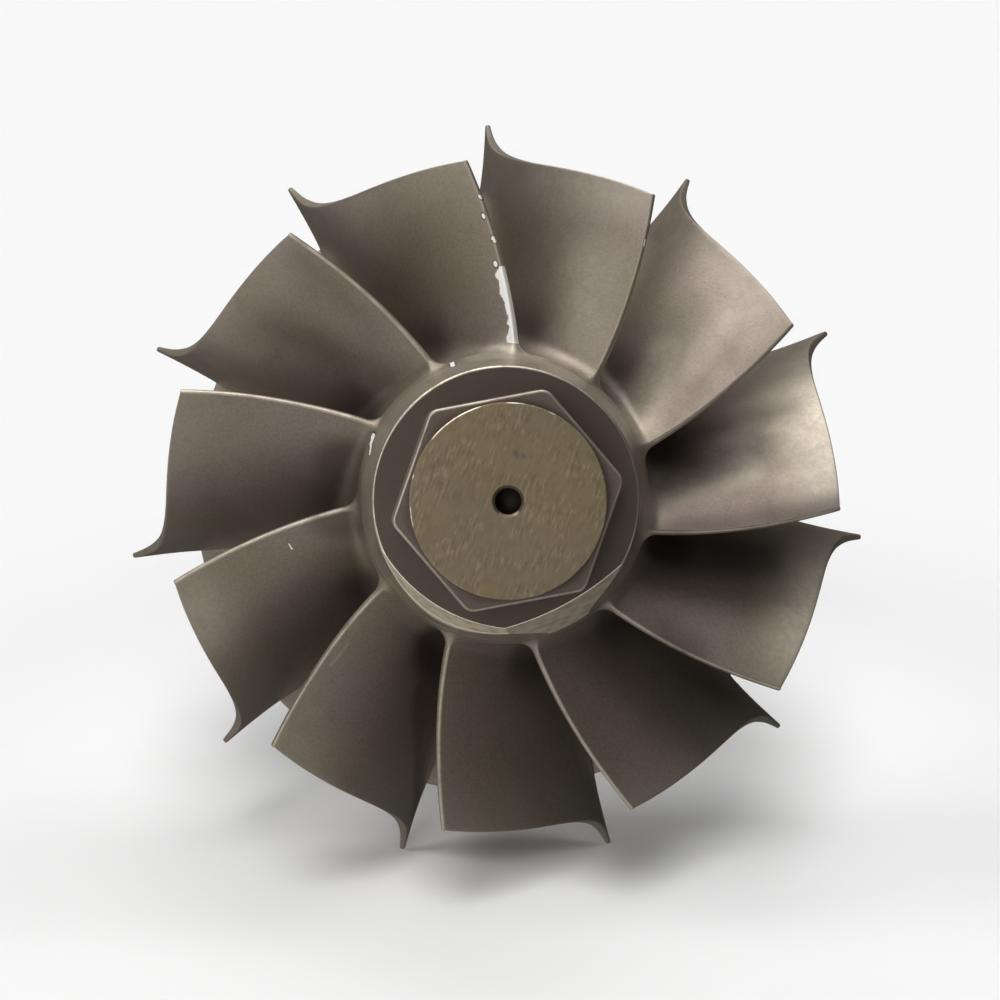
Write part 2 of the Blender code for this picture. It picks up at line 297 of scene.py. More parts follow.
@dataclass(frozen=True)
class CoreSizes:
    """The turned line of the casting's core, from the back disc to the collar's rim."""

    rim_radius: float = 29.6
    rim_z: float = -6.0
    rim_edge: float = 1.3
    rim_round: float = 0.35
    disc_back_z: float = -8.4
    disc_flat_radius: float = 23.7
    disc_split_z: float = -4.4
    rim_lean: float = math.radians(28)
    rim_pull: float = 13.0
    neck_pull: float = 13.5
    root_exit_radius: float = 13.0
    root_exit_z: float = 25.4
    hub_top_z: float = 26.4
    collar_radius: float = 11.65
    collar_top_z: float = 33.0
    collar_edge: float = 0.25


class CoreLine:
    """The line that the blades stand on: a cubic curve up the hub, then the collar's hollow flare."""

    HUB_SAMPLES = 700
    FLARE_SAMPLES = 233

    def __init__(self, sizes: CoreSizes) -> None:
        """Samples the line and its outward normals.

        Args:
            sizes: The casting's sizes.
        """
        self.sizes = sizes
        hub = self.hub(np.linspace(0, 1, self.HUB_SAMPLES))
        z = np.linspace(sizes.root_exit_z, sizes.collar_top_z, self.FLARE_SAMPLES)[1:]
        self.points = np.concatenate([hub, np.column_stack([self.flare(z), z])])
        along = unit(np.gradient(self.points, axis=0))
        self.normals = np.column_stack([along[:, 1], -along[:, 0]])

    def hub(self, t: np.ndarray) -> np.ndarray:
        """Returns (radius, z) at t along the hub, which is 0 at the rim and 1 at the trailing edge.

        The curve is (1-t)^3 a + 3t(1-t)^2 b + 3t^2(1-t) c + t^3 d: it leaves the rim a inwards, leaning
        forward to b, and arrives along the axis from c at d.

        Args:
            t: The places along the hub.

        Returns:
            The points.
        """
        sizes = self.sizes
        start = np.array([sizes.rim_radius, sizes.rim_z])
        end = np.array([sizes.root_exit_radius, sizes.root_exit_z])
        leave = start + sizes.rim_pull * np.array([-math.cos(sizes.rim_lean), math.sin(sizes.rim_lean)])
        arrive = end - np.array([0.0, sizes.neck_pull])
        t = np.asarray(t, float)[..., None]
        return (1 - t) ** 3 * start + 3 * (1 - t) ** 2 * t * leave + 3 * (1 - t) * t**2 * arrive + t**3 * end

    def flare(self, z: np.ndarray) -> np.ndarray:
        """Works out the collar's radius: it narrows with the square of what is left to rise.

        Args:
            z: The heights.

        Returns:
            The radii.
        """
        sizes = self.sizes
        rise = (z - sizes.root_exit_z) / (sizes.collar_top_z - sizes.root_exit_z)
        return sizes.collar_radius + (sizes.root_exit_radius - sizes.collar_radius) * (1 - rise) ** 2

    def lift(self, radius: np.ndarray, z: np.ndarray, height: np.ndarray) -> tuple[np.ndarray, np.ndarray]:
        """Moves (radius, z) points along the line's normals until they lie at a height above it.

        Args:
            radius: The points' radii.
            z: The points' Z values.
            height: The height above the line that each point is to have.

        Returns:
            The new radii and Z values.
        """
        places = np.stack([radius, z], axis=-1)
        flat = places.reshape(-1, 2)
        nearest = ((flat[:, None, :] - self.points[None]) ** 2).sum(-1).argmin(1)
        normals = self.normals[nearest]
        now = ((flat - self.points[nearest]) * normals).sum(-1)
        moved = flat + (np.broadcast_to(height, radius.shape).ravel() - now)[:, None] * normals
        moved = moved.reshape(places.shape)
        return moved[..., 0], moved[..., 1]


@dataclass(frozen=True)
class Rub:
    """A strip beside the trailing edge that is rubbed bare: its width at a few radii, straight between."""

    radii: tuple[float, ...]
    widths: tuple[float, ...]

    def reach(self, radius: np.ndarray) -> np.ndarray:
        """Returns how far from the trailing edge the strip reaches; it is below 0 beyond its ends."""
        return np.interp(radius, self.radii, self.widths, left=-1.0, right=-1.0)


@dataclass(frozen=True)
class BladeSizes:
    """The blades' shape, which one law gives for all of them."""

    count: int = 11
    tip_radius: float = 35.75
    exit_radius: float = 30.4
    exit_z: float = 22.5
    shroud_power: float = 2.35
    wrap_linear: float = math.radians(0.0933)
    wrap_cubic: float = math.radians(0.00228)
    edge_thickness: float = 0.85
    leading_thickness: float = 0.5
    leading_share: float = 0.25
    trailing_thickness: float = 0.56
    trailing_share: float = 0.2
    root_thickness: float = 1.9
    belly_power: float = 1.5
    end_squareness: float = 0.8
    edge_round: float = 0.12
    leading_round: float = 0.22
    fillet: float = 1.6
    fillet_leading: float = 0.1
    fillet_trailing: float = 1.1
    fillet_rise: float = 0.22
    fillet_fall: float = 0.15
    sink: float = 0.35
    unevenness: float = 0.07
    uneven_length: float = 11.0
    steps_along: int = 96
    steps_end: int = 8
    steps_out: int = 44
    steps_fillet: int = 8
    steps_edge: int = 4


@dataclass
class Blade:
    """One swept blade: a ring round its section at each height, from inside the hub to its outer edge."""

    SMALL = 1e-3
    # Painted highlight along the blades' outer edges and ends, on top of rubbing.
    OUTER_WEAR_AND_HIGHLIGHT = 0.3
    WEAR_AND_HIGHLIGHT_RISE = 6
    RUB_BLUR = 2.0
    number: int
    core: CoreLine
    sizes: BladeSizes = field(default_factory=BladeSizes)
    rubs: tuple[Rub, ...] = ()

    @property
    def name(self) -> str:
        """The CAD node that this blade stands for."""
        return f"blade_{self.number:02d}"

    @property
    def tip_angle(self) -> float:
        """The angle of the blade's tip about the axis."""
        return math.pi / 2 + self.number * math.tau / self.sizes.count

    def wrap(self, z: np.ndarray) -> np.ndarray:
        """Returns the angle back from the tip at a height: linear z plus cubic z^3."""
        return self.sizes.wrap_linear * z + self.sizes.wrap_cubic * z**3

    def shroud(self, t: np.ndarray) -> np.ndarray:
        """Works out the outer edge, where the radius falls with (1-t)^power as z rises.

        Args:
            t: The places along the blade.

        Returns:
            The (radius, z) points.
        """
        sizes = self.sizes
        radius = sizes.exit_radius + (sizes.tip_radius - sizes.exit_radius) * (1 - t) ** sizes.shroud_power
        return np.stack([radius, sizes.exit_z * t], axis=-1)

    def length_out(self, t: np.ndarray) -> np.ndarray:
        """Returns how long the straight line from the hub to the outer edge is at t."""
        return np.linalg.norm(self.shroud(t) - self.core.hub(t), axis=-1)

    def middle(self, t: np.ndarray, out: np.ndarray) -> np.ndarray:
        """Returns points on the middle surface, at t along the blade and a distance out from its root.

        Each lies on the straight line from the hub's point to the outer edge's point in the (radius, z)
        plane, and is turned about the axis by the wrap at its own z.

        Args:
            t: The places along the blade.
            out: The distances out.

        Returns:
            The points.
        """
        share = (out / self.length_out(t))[..., None]
        flat = self.core.hub(t) * (1 - share) + self.shroud(t) * share
        return polar(flat[..., 0], self.tip_angle - self.wrap(flat[..., 1]), flat[..., 1])

    def rows(self, t: np.ndarray) -> tuple[np.ndarray, np.ndarray, np.ndarray]:
        """Returns for each row its distance out, its fillet and how far its edge is rounded off.

        Args:
            t: Where along the blade, one column each.

        Returns:
            The distance out, the added half thickness and the lost half thickness at each row and t.
        """
        sizes = self.sizes
        full = self.length_out(t)[None, :]
        fillet = self.fillet(t)[None, :]
        turn = quarter_turn(sizes.steps_fillet)[:, None]
        body = np.linspace(0, 1, sizes.steps_out + 1)[1:, None]
        edge_round = sizes.edge_round + (sizes.leading_round - sizes.edge_round) * self.nearness_to_leading(t)
        body_out = fillet + (full - edge_round - fillet) * body
        bend = quarter_turn(sizes.steps_edge)[1:, None]
        edge_out = full - edge_round * (1 - np.sin(bend))
        sunk = np.full_like(full, -sizes.sink)
        out = np.concatenate([sunk, fillet * (1 - np.cos(turn)), body_out, edge_out])
        plain = np.zeros((sizes.steps_out + sizes.steps_edge, full.shape[1]))
        added = np.concatenate([fillet, fillet * (1 - np.sin(turn)), plain])
        straight = np.zeros((len(out) - len(bend), full.shape[1]))
        return out, added, np.concatenate([straight, edge_round * (1 - np.cos(bend))])

    def nearness_to_leading(self, t: np.ndarray) -> np.ndarray:
        """Returns 1 at the leading edge, falling in a straight line to 0 at the leading share."""
        return np.clip(1 - t / self.sizes.leading_share, 0, 1)

    def fillet(self, t: np.ndarray) -> np.ndarray:
        """Works out the root fillet's radius: it rises smoothly from the leading edge and eases at the end.

        Args:
            t: The places along the blade.

        Returns:
            The radii.
        """
        sizes = self.sizes
        risen = smooth_step(0.0, sizes.fillet_rise, t) * (sizes.fillet - sizes.fillet_leading)
        eased = smooth_step(1 - sizes.fillet_fall, 1.0, t) * (sizes.fillet - sizes.fillet_trailing)
        return sizes.fillet_leading + risen - eased

    def rim_thickness(self, t: np.ndarray) -> np.ndarray:
        """Works out the thickness at the outer edge, which thins in a straight line to each end.

        Args:
            t: The places along the blade.

        Returns:
            The thicknesses.
        """
        sizes = self.sizes
        to_trailing = np.clip(1 - (1 - t) / sizes.trailing_share, 0, 1)
        thinned = sizes.edge_thickness + (sizes.trailing_thickness - sizes.edge_thickness) * to_trailing
        return thinned + (sizes.leading_thickness - sizes.edge_thickness) * self.nearness_to_leading(t)

    def half_thickness(self, t: np.ndarray, out: np.ndarray) -> np.ndarray:
        """Works out the half thickness: the rim's, plus a belly of sqrt(sin(pi t)) that fades outwards.

        Args:
            t: The places along the blade.
            out: The distances out.

        Returns:
            The half thicknesses.
        """
        sizes = self.sizes
        share = np.clip(1 - out / self.length_out(t), 0, 1)
        belly = np.sqrt(np.sin(math.pi * np.clip(t, 0, 1))) * share**sizes.belly_power
        rim = self.rim_thickness(t)
        return 0.5 * (rim + (sizes.root_thickness - rim) * belly)

    def ring(self) -> tuple[np.ndarray, np.ndarray]:
        """Returns the ring's place along the blade, and its sides and ends as a squarish oval.

        Returns:
            Numbers t along the blade that start and end at the leading edge's middle, and for each of
            them (lengthwise, sideways) shares of the half thickness: (0, 1) on one side, (0, -1) on the
            other, and the curve (cos^p, sin^p) round the two ends.
        """
        sizes = self.sizes
        along = np.linspace(0, 1, sizes.steps_along)
        bend = quarter_turn(sizes.steps_end)[:-1]
        power = sizes.end_squareness
        lengthwise = np.cos(bend) ** power
        sideways = np.sin(bend) ** power
        start = np.column_stack([-lengthwise, sideways])
        side = np.column_stack([np.zeros_like(along), np.ones_like(along)])
        finish = np.column_stack([lengthwise[::-1], sideways[::-1]])
        near = np.concatenate([start, side, finish])
        t_near = np.concatenate([np.zeros(len(start)), along, np.ones(len(finish))])
        far = near[-2:0:-1] * [1, -1]
        return np.concatenate([t_near, t_near[-2:0:-1]]), np.concatenate([near, far])

    def stretch(self, t: float) -> np.ndarray:
        """Works out how many millimetres of blade one unit of t is at an end.

        Args:
            t: The end, 0 or 1.

        Returns:
            One number for each row.
        """
        out, _, _ = self.rows(np.array([t]))
        near = self.middle(np.full_like(out, abs(t - self.SMALL)), out)
        return np.linalg.norm(self.middle(np.full_like(out, t), out) - near, axis=-1) / self.SMALL

    def grid(self) -> tuple[np.ndarray, np.ndarray]:
        """Works out the blade's points.

        Returns:
            The points by row and place in the ring, and each point's t along the blade.
        """
        sizes = self.sizes
        small = self.SMALL
        ring_t, shares = self.ring()
        ends = self.rim_thickness(np.array([0.0, 1.0])) / 2
        first = ends[0] / self.stretch(0.0)
        last = 1 - ends[1] / self.stretch(1.0)
        t = first + ring_t[None, :] * (last - first)
        out, added, lost = (np.stack(part) for part in zip(*self.row_values(t)))
        middle = self.middle(t, out)
        along = self.middle(t + small, out) - self.middle(t - small, out)
        upward = self.middle(t, out + small) - self.middle(t, out - small)
        normal = unit(np.cross(upward, along))
        outline = unit(np.cross(normal, upward))
        end_half = np.where(ring_t < 0.5, ends[0], ends[1])[None, :]
        reach = (end_half - lost + added) * shares[None, :, 0]
        width = (self.half_thickness(t, out) - lost + added) * shares[None, :, 1]
        points = middle + outline * reach[..., None] + normal * width[..., None]
        uneven = sizes.unevenness * ripple(points, sizes.uneven_length, self.number)
        return self.seat(points + normal * uneven[..., None], out), t

    def row_values(self, t: np.ndarray) -> list[tuple[np.ndarray, np.ndarray, np.ndarray]]:
        """Works out each row's own values, at that row's t.

        Args:
            t: The places along the blade, by row.

        Returns:
            Each row's distances out, added half thicknesses and lost half thicknesses.
        """
        values = []
        for number, row in enumerate(t):
            out, added, lost = self.rows(row)
            values.append((out[number], added[number], lost[number]))
        return values

    def seat(self, points: np.ndarray, out: np.ndarray) -> np.ndarray:
        """Sets the fillet's rows at their height above the hub, and keeps their offset from the middle.

        Args:
            points: The blade's points, by row.
            out: The rows' heights above the hub.

        Returns:
            The corrected points.
        """
        rows = self.sizes.steps_fillet + 2
        low = points[:rows]
        radius = np.hypot(low[..., 0], low[..., 1])
        z = low[..., 2]
        aside = np.arctan2(low[..., 1], low[..., 0]) + self.wrap(z)
        radius, z = self.core.lift(radius, z, out[:rows])
        seated = points.copy()
        seated[:rows] = polar(radius, aside - self.wrap(z), z)
        return seated

    def masks(self, points: np.ndarray, t: np.ndarray) -> dict[Mask, np.ndarray]:
        """Returns the masks of the edges, rubbed and partly painted as highlights where they catch the light,
        and of the rubs beside the trailing edge.

        Args:
            points: The blade's points, by row and place in the ring.
            t: Each point's place along the blade.

        Returns:
            The two masks, in the points' layout.
        """
        sizes = self.sizes
        rows = np.arange(len(points))[:, None]
        shares = self.ring()[1][None, :]
        # The edge mask paints highlights on the outer edge and on the ends, on top of rubbing.
        outer = np.where(rows >= len(points) - sizes.steps_edge, self.OUTER_WEAR_AND_HIGHLIGHT, 0.0)
        risen = smooth_step(1, sizes.steps_fillet + self.WEAR_AND_HIGHLIGHT_RISE, rows)
        ends = np.clip(np.abs(shares[..., 0]), 0, 1) * risen
        radius = np.hypot(points[..., 0], points[..., 1])
        back = (1 - t) * self.stretch(1.0)
        facing = (shares[..., 1] < 0) | (shares[..., 0] > 0)
        bare = np.zeros(radius.shape)
        for rub in self.rubs:
            depth = rub.reach(radius) - back
            bare = np.maximum(bare, np.where(facing, np.clip(0.5 + depth / self.RUB_BLUR, 0, 1), 0))
        return {Mask.EDGE_AND_HIGHLIGHT: np.maximum(outer, ends), Mask.BARE: bare}

    def skin(self) -> Skin:
        """Closes the blade's points and masks to a surface.

        Returns:
            The surface.
        """
        points, t = self.grid()
        skin = Skin(points, self.masks(points, t))
        skin.close_end(0, turned=False)
        skin.close_end(-1, turned=True)
        return skin


@dataclass
class Hub:
    """The flared core that the blades stand on."""

    core: CoreLine
    steps: int = 360
    rows: int = 70
    neck_rows: int = 5

    def skin(self) -> Skin:
        """Turns the hub: the core line from the split by the disc up to the collar.

        Returns:
            The surface.
        """
        sizes = self.core.sizes
        line = self.core.hub(np.linspace(0, 1, self.rows))
        flank = line[line[:, 1] > sizes.disc_split_z + SPLIT_GAP]
        foot_radius = float(np.interp(sizes.disc_split_z, line[:, 1], line[:, 0]))
        z = np.linspace(sizes.root_exit_z, sizes.hub_top_z, self.neck_rows)[1:]
        neck = np.column_stack([self.core.flare(z), z])
        foot = [(0.0, sizes.disc_split_z), (foot_radius, sizes.disc_split_z)]
        profile = np.concatenate([foot, flank, neck, [(0.0, sizes.hub_top_z)]])
        return Skin(revolve(profile, self.steps))


@dataclass
class BackDisc:
    """The full round disc behind the blades."""

    core: CoreLine
    steps: int = 360
    rows: int = 70
    rim_rounding: float = 0.25
    flat_rounding: float = 0.8

    def skin(self) -> Skin:
        """Turns the disc: the core line out to the rim, the rounded rim and the flat back.

        Returns:
            The surface.
        """
        sizes = self.core.sizes
        line = self.core.hub(np.linspace(0, 1, self.rows))
        split_radius = float(np.interp(sizes.disc_split_z, line[:, 1], line[:, 0]))
        behind_split = line[:, 1] < sizes.disc_split_z - SPLIT_GAP
        inside_rim = line[:, 0] < sizes.rim_radius - sizes.rim_round
        corners = [(0.0, sizes.disc_split_z, 0.0), (split_radius, sizes.disc_split_z, 0.0)]
        corners += [(radius, z, 0.0) for radius, z in line[behind_split & inside_rim][::-1]]
        corners += [
            (sizes.rim_radius, sizes.rim_z, self.rim_rounding),
            (sizes.rim_radius, sizes.rim_z - sizes.rim_edge, self.rim_rounding),
            (sizes.disc_flat_radius, sizes.disc_back_z, self.flat_rounding),
            (0.0, sizes.disc_back_z, 0.0),
        ]
        return Skin(revolve(rounded_profile(corners), self.steps))


@dataclass(frozen=True)
class Facet:
    """A place on the collar that was ground away for balance: the inside of a leaning tube."""

    direction: float
    lean: float
    reach: float
    radius: float
    # How light the facet is: ground metal, and partly a painted reflection.
    brightness: float
    lined: bool

    def distance(self, angle: np.ndarray, z: np.ndarray, top_z: float) -> np.ndarray:
        """Returns how far from the axis the ground surface lies at an angle and a height.

        A level cut of the leaning tube is an ellipse with half axes a = radius / cos(lean) and b = radius,
        centred c = reach - a + (top - z) tan(lean) along the direction. A ray from the axis meets it at the
        positive root r of ((r cos u - c) / a)^2 + (r sin u / b)^2 = 1.

        Args:
            angle: The rays' angles about the axis.
            z: Their heights.
            top_z: The collar's top.

        Returns:
            The distances.
        """
        half_long = self.radius / math.cos(self.lean)
        centre = self.reach - half_long + (top_z - z) * math.tan(self.lean)
        across = angle - self.direction
        square = (np.cos(across) / half_long) ** 2 + (np.sin(across) / self.radius) ** 2
        linear = -2 * centre * np.cos(across) / half_long**2
        rest = (centre / half_long) ** 2 - 1
        return (-linear + np.sqrt(linear**2 - 4 * square * rest)) / (2 * square)


@dataclass
class Collar:
    """The tapered collar in front of the blades, with its two ground facets."""

    core: CoreLine
    facets: tuple[Facet, ...] = (
        Facet(math.radians(242), math.radians(15), 10.95, 14.5, 0.8, True),
        Facet(math.radians(296), math.radians(18), 10.45, 26.0, 0.6, False),
    )
    steps: int = 900
    wall_rows: int = 70
    edge_rows: int = 6
    floor_rows: int = 30
    floor_reach: float = 2.6
    grind_edge: float = 0.08
    line_depth: float = 0.1
    line_rise: float = 0.16
    # The rim and the wall are lightened, partly as a painted highlight; the flat floor inside the rim gets
    # painted shade.
    rim_wear_and_highlight: float = 1.5
    wall_wear_and_highlight: float = 0.5
    floor_shade: float = 1.45

    def profile(self) -> np.ndarray:
        """Works out the collar's outline: foot, hollow wall, rounded rim and flat top.

        Returns:
            The (radius, z) points.
        """
        sizes = self.core.sizes
        edge = sizes.collar_edge
        wall_z = np.linspace(sizes.hub_top_z, sizes.collar_top_z - edge, self.wall_rows)
        wall = np.column_stack([self.core.flare(wall_z), wall_z])
        bend = quarter_turn(self.edge_rows)[1:]
        rim = np.column_stack([wall[-1, 0] - edge * (1 - np.cos(bend)), wall[-1, 1] + edge * np.sin(bend)])
        floor_radius = rim[-1, 0] - np.linspace(0, self.floor_reach, self.floor_rows)[1:]
        floor_radius = np.append(floor_radius, 0.0)
        floor = np.column_stack([floor_radius, np.full_like(floor_radius, sizes.collar_top_z)])
        return np.concatenate([[(0.0, sizes.hub_top_z)], wall, rim, floor])

    def skin(self) -> Skin:
        """Turns the collar's profile, and pulls it in to each facet where that lies nearer.

        Returns:
            The surface.
        """
        sizes = self.core.sizes
        profile = self.profile()
        angle = (np.arange(self.steps) * math.tau / self.steps)[None, :]
        radius = np.repeat(profile[:, :1], self.steps, axis=1)
        z = np.repeat(profile[:, 1:], self.steps, axis=1)
        ground = np.zeros_like(radius)
        line = np.zeros_like(radius)
        # Painted highlight lines along the facets' edges.
        top_line = z > sizes.collar_top_z - self.line_rise
        from_top = np.clip(z - (sizes.collar_top_z - self.grind_edge), 0, self.grind_edge)
        bevel = self.grind_edge - np.sqrt(self.grind_edge**2 - from_top**2)
        wall = z < sizes.collar_top_z
        for facet in self.facets:
            limit = facet.distance(angle, z, sizes.collar_top_z) - bevel
            near = 1 - smooth_step(0.0, self.line_depth, np.abs(radius - limit))
            cut = limit < radius
            bright = np.where(wall, np.maximum(near * facet.lined, top_line & cut), 0.0)
            line = np.where(cut, bright, np.maximum(line, bright))
            ground = np.where(cut & wall, facet.brightness, ground)
            radius = np.where(cut, limit, radius)
        rounding = (z > sizes.collar_top_z - sizes.collar_edge) & wall
        cut_away = radius < profile[:, :1]
        floor = ~wall & ~cut_away
        masks = {
            Mask.GROUND_AND_REFLECTION: ground,
            Mask.EDGE_AND_HIGHLIGHT: np.where(rounding, self.rim_wear_and_highlight, np.where(wall & ~cut_away, self.wall_wear_and_highlight, 0.0)),
            Mask.LINE_HIGHLIGHT: line,
            Mask.SHADE: np.where(floor, self.floor_shade, 0.0),
        }
        return Skin(polar(radius, angle, z), masks)


@dataclass
class NoseHexagon:
    """The six-sided drive boss on the collar, with the lower half of the centre hole."""

    SIDES = 6
    foot_z: float = 32.9
    top_z: float = 38.9
    across_flats: float = 17.5
    turn: float = math.radians(9.3)
    corner_round: float = 1.2
    edge: float = 0.2
    foot_round: float = 0.12
    foot_lift: float = 0.1
    # Painted shade on the boss's wall, on its top and in the corners by the face.
    darkening: float = 0.75
    top_shade: float = 1.0
    corner_shade: float = 1.4
    shoulder_share: float = 0.995
    corner_shares: tuple[float, float] = (0.35, 0.9)
    face_radius: float = 8.35
    # The boss's edge is brightened as a painted highlight, most on the upper left.
    highlight_middle: float = math.radians(130)
    highlight_least: float = 0.35
    highlight_turns: tuple[float, float] = (-0.2, 0.7)
    hole_radius: float = 1.1
    hole_mouth: float = 0.3
    hole_end_z: float = 36.2
    drill_point: float = 0.6
    arc_steps: int = 8
    flat_steps: int = 14
    wall_rows: int = 10
    edge_rows: int = 4

    def outline(self, grown: float) -> np.ndarray:
        """Returns the hexagon's outline, grown outwards: six flats joined by arcs about their corners.

        Args:
            grown: How far outside the drawn size the outline lies; below 0 it lies inside.

        Returns:
            The (x, y) points, in order round the axis.
        """
        half_side = math.pi / self.SIDES
        centre = (self.across_flats / 2 - self.corner_round) / math.cos(half_side)
        corners = self.turn + half_side * (2 * np.arange(self.SIDES) + 2)
        bend = np.linspace(-half_side, half_side, self.arc_steps + 1)[None, :]
        direction = corners[:, None] + bend
        radius = self.corner_round + grown
        middles = centre * np.stack([np.cos(corners), np.sin(corners)], axis=-1)
        arcs = middles[:, None, :] + radius * np.stack([np.cos(direction), np.sin(direction)], axis=-1)
        share = np.linspace(0, 1, self.flat_steps + 1)[1:-1][None, :, None]
        flats = arcs[:, -1:, :] * (1 - share) + np.roll(arcs, -1, axis=0)[:, :1, :] * share
        return np.concatenate([arcs, flats], axis=1).reshape(-1, 2)

    def edge_highlight(self, outline: np.ndarray) -> np.ndarray:
        """Returns how strongly the edge is painted as a highlight round the outline: most towards the lit
        upper left, least across from it.
        """
        side = np.cos(np.arctan2(outline[:, 1], outline[:, 0]) - self.highlight_middle)
        return self.highlight_least + (1 - self.highlight_least) * smooth_step(*self.highlight_turns, side)

    def skin(self) -> Skin:
        """Stacks outlines up the boss's wall and over its edge, then draws them in to the hole.

        Returns:
            The surface.
        """
        rows: list[np.ndarray] = []
        highlight_rows: list[np.ndarray] = []
        shade_rows: list[np.ndarray] = []

        def add(outline: np.ndarray, z: float, highlighted: float = 0.0, darkening: float = self.darkening) -> None:
            """Adds one ring of the surface.

            Args:
                outline: The ring's (x, y) points.
                z: Its height.
                highlighted: How strongly its edge is painted as a highlight, where that is most.
                darkening: How much painted shade it gets.
            """
            rows.append(np.column_stack([outline, np.full(len(outline), z)]))
            highlight_rows.append(highlighted * self.edge_highlight(outline))
            shade_rows.append(np.full(len(outline), darkening))

        bend = quarter_turn(self.edge_rows)
        foot = self.outline(self.foot_round)
        lifted_z = self.foot_z + self.foot_lift
        add(foot * 0, self.foot_z)
        add(foot, self.foot_z)
        for turn in bend:
            rise = self.foot_round * (1 - math.cos(turn))
            add(self.outline(self.foot_round * (1 - math.sin(turn))), lifted_z + rise)
        for z in np.linspace(lifted_z + self.foot_round, self.top_z - self.edge, self.wall_rows)[1:]:
            add(self.outline(0), z)
        for turn in bend[1:]:
            inset = self.edge * (1 - math.cos(turn))
            add(self.outline(-inset), self.top_z - self.edge * (1 - math.sin(turn)), 1.0, 0.0)
        shoulder = self.outline(-self.edge)
        add(shoulder * self.shoulder_share, self.top_z, darkening=self.top_shade)
        circle = unit(shoulder)
        reach = np.linalg.norm(shoulder, axis=1, keepdims=True)
        near, far = self.corner_shares
        for share, darkening in ((near, self.top_shade), (far, self.corner_shade), (1.0, self.corner_shade)):
            add(circle * (reach + (self.face_radius - reach) * share), self.top_z, darkening=darkening)
        for z in (self.top_z, self.top_z - self.hole_mouth, self.hole_end_z):
            add(circle * self.hole_radius, z, darkening=DEEP_SHADE)
        add(circle * 0, self.hole_end_z - self.drill_point, darkening=DEEP_SHADE)
        return Skin(np.stack(rows), {Mask.EDGE_AND_HIGHLIGHT: np.stack(highlight_rows), Mask.SHADE: np.stack(shade_rows)})


@dataclass
class NoseFace:
    """The round turned face on the hexagon, with the mouth of the centre hole."""

    foot_z: float = 38.9
    top_z: float = 40.2
    radius: float = 8.35
    edge: float = 0.14
    hole_radius: float = 1.1
    countersink_radius: float = 1.35
    countersink_round: float = 0.06
    hole_round: float = 0.05
    edge_share: float = 0.9
    hole_slack: float = 0.05
    mouth_slack: float = 0.02
    steps: int = 360
    # The edge is brightened as a painted highlight between these angles.
    highlight_from: float = math.radians(60)
    highlight_to: float = math.radians(205)
    highlight_least: float = 0.1
    # A painted glint at the bottom of the hole's mouth, and painted shade over the rest of it.
    glint_half: float = math.radians(50)
    glint_turn: float = math.radians(2)
    mouth_shade: float = 0.55

    def skin(self) -> Skin:
        """Turns the face: its wall, rounded edge, flat top and countersink, and the hole's wall.

        Returns:
            The surface.
        """
        sink = self.countersink_radius - self.hole_radius
        corners = [
            (self.hole_radius, self.foot_z, 0.0),
            (self.radius, self.foot_z, 0.0),
            (self.radius, self.top_z, self.edge),
            (self.countersink_radius, self.top_z, self.countersink_round),
            (self.hole_radius, self.top_z - sink, self.hole_round),
            (self.hole_radius, self.foot_z, 0.0),
        ]
        profile = rounded_profile(corners)
        radius, z = profile[:, :1], profile[:, 1:]
        within = self.edge_share * self.edge
        edge = (radius > self.radius - within) & (z > self.top_z - within)
        angle = np.arange(self.steps)[None, :] * math.tau / self.steps
        side = np.cos(angle - (self.highlight_from + self.highlight_to) / 2)
        most = math.cos((self.highlight_to - self.highlight_from) / 2)
        edge_highlight = np.where(side > most, 1.0, self.highlight_least)
        # Painted glint on the lower mouth; painted shade in the hole and on the rest of the mouth.
        below = smooth_step(math.cos(self.glint_half), 1.0, -np.sin(angle + self.glint_turn))
        hole = (radius < self.hole_radius + self.hole_slack) & (z < self.top_z - self.edge_share * sink)
        mouth = (radius < self.countersink_radius + self.mouth_slack) & ~hole
        highlighted = np.where(edge, edge_highlight, 0.0) + np.where(mouth, below, 0.0)
        darkening = np.where(hole, DEEP_SHADE, 0.0) + np.where(mouth, self.mouth_shade * (1 - below), 0.0)
        return Skin(revolve(profile, self.steps), {Mask.EDGE_AND_HIGHLIGHT: highlighted, Mask.SHADE: darkening})


@dataclass(frozen=True)
class ShaftSizes:
    """The stages of the shaft, from the disc's back to its end."""

    disc_back_z: float = -8.4
    weld_boss_radius: float = 10.2
    weld_boss_foot: float = 1.6
    weld_boss_step: float = 0.8
    weld_boss_end_z: float = -12.0
    seal_radius: float = 8.6
    seal_end_z: float = -24.0
    groove_radius: float = 7.2
    groove_z: float = -17.0
    groove_width: float = 1.7
    journal_radius: float = 5.5
    waist_radius: float = 5.0
    journal_taper: float = 1.0
    journal_length: float = 13.0
    shoulder_z: float = -78.0
    shoulder_length: float = 3.0
    stub_radius: float = 3.98
    stub_end_z: float = -106.0
    thread_radius: float = 3.9
    thread_end_z: float = -121.0
    end_chamfer: float = 0.6
    chamfer_round: float = 0.1
    groove_lip: float = 0.12
    groove_root: float = 0.15
    land_round: float = 0.2
    step_round: float = 0.3
    weld_round: float = 0.9


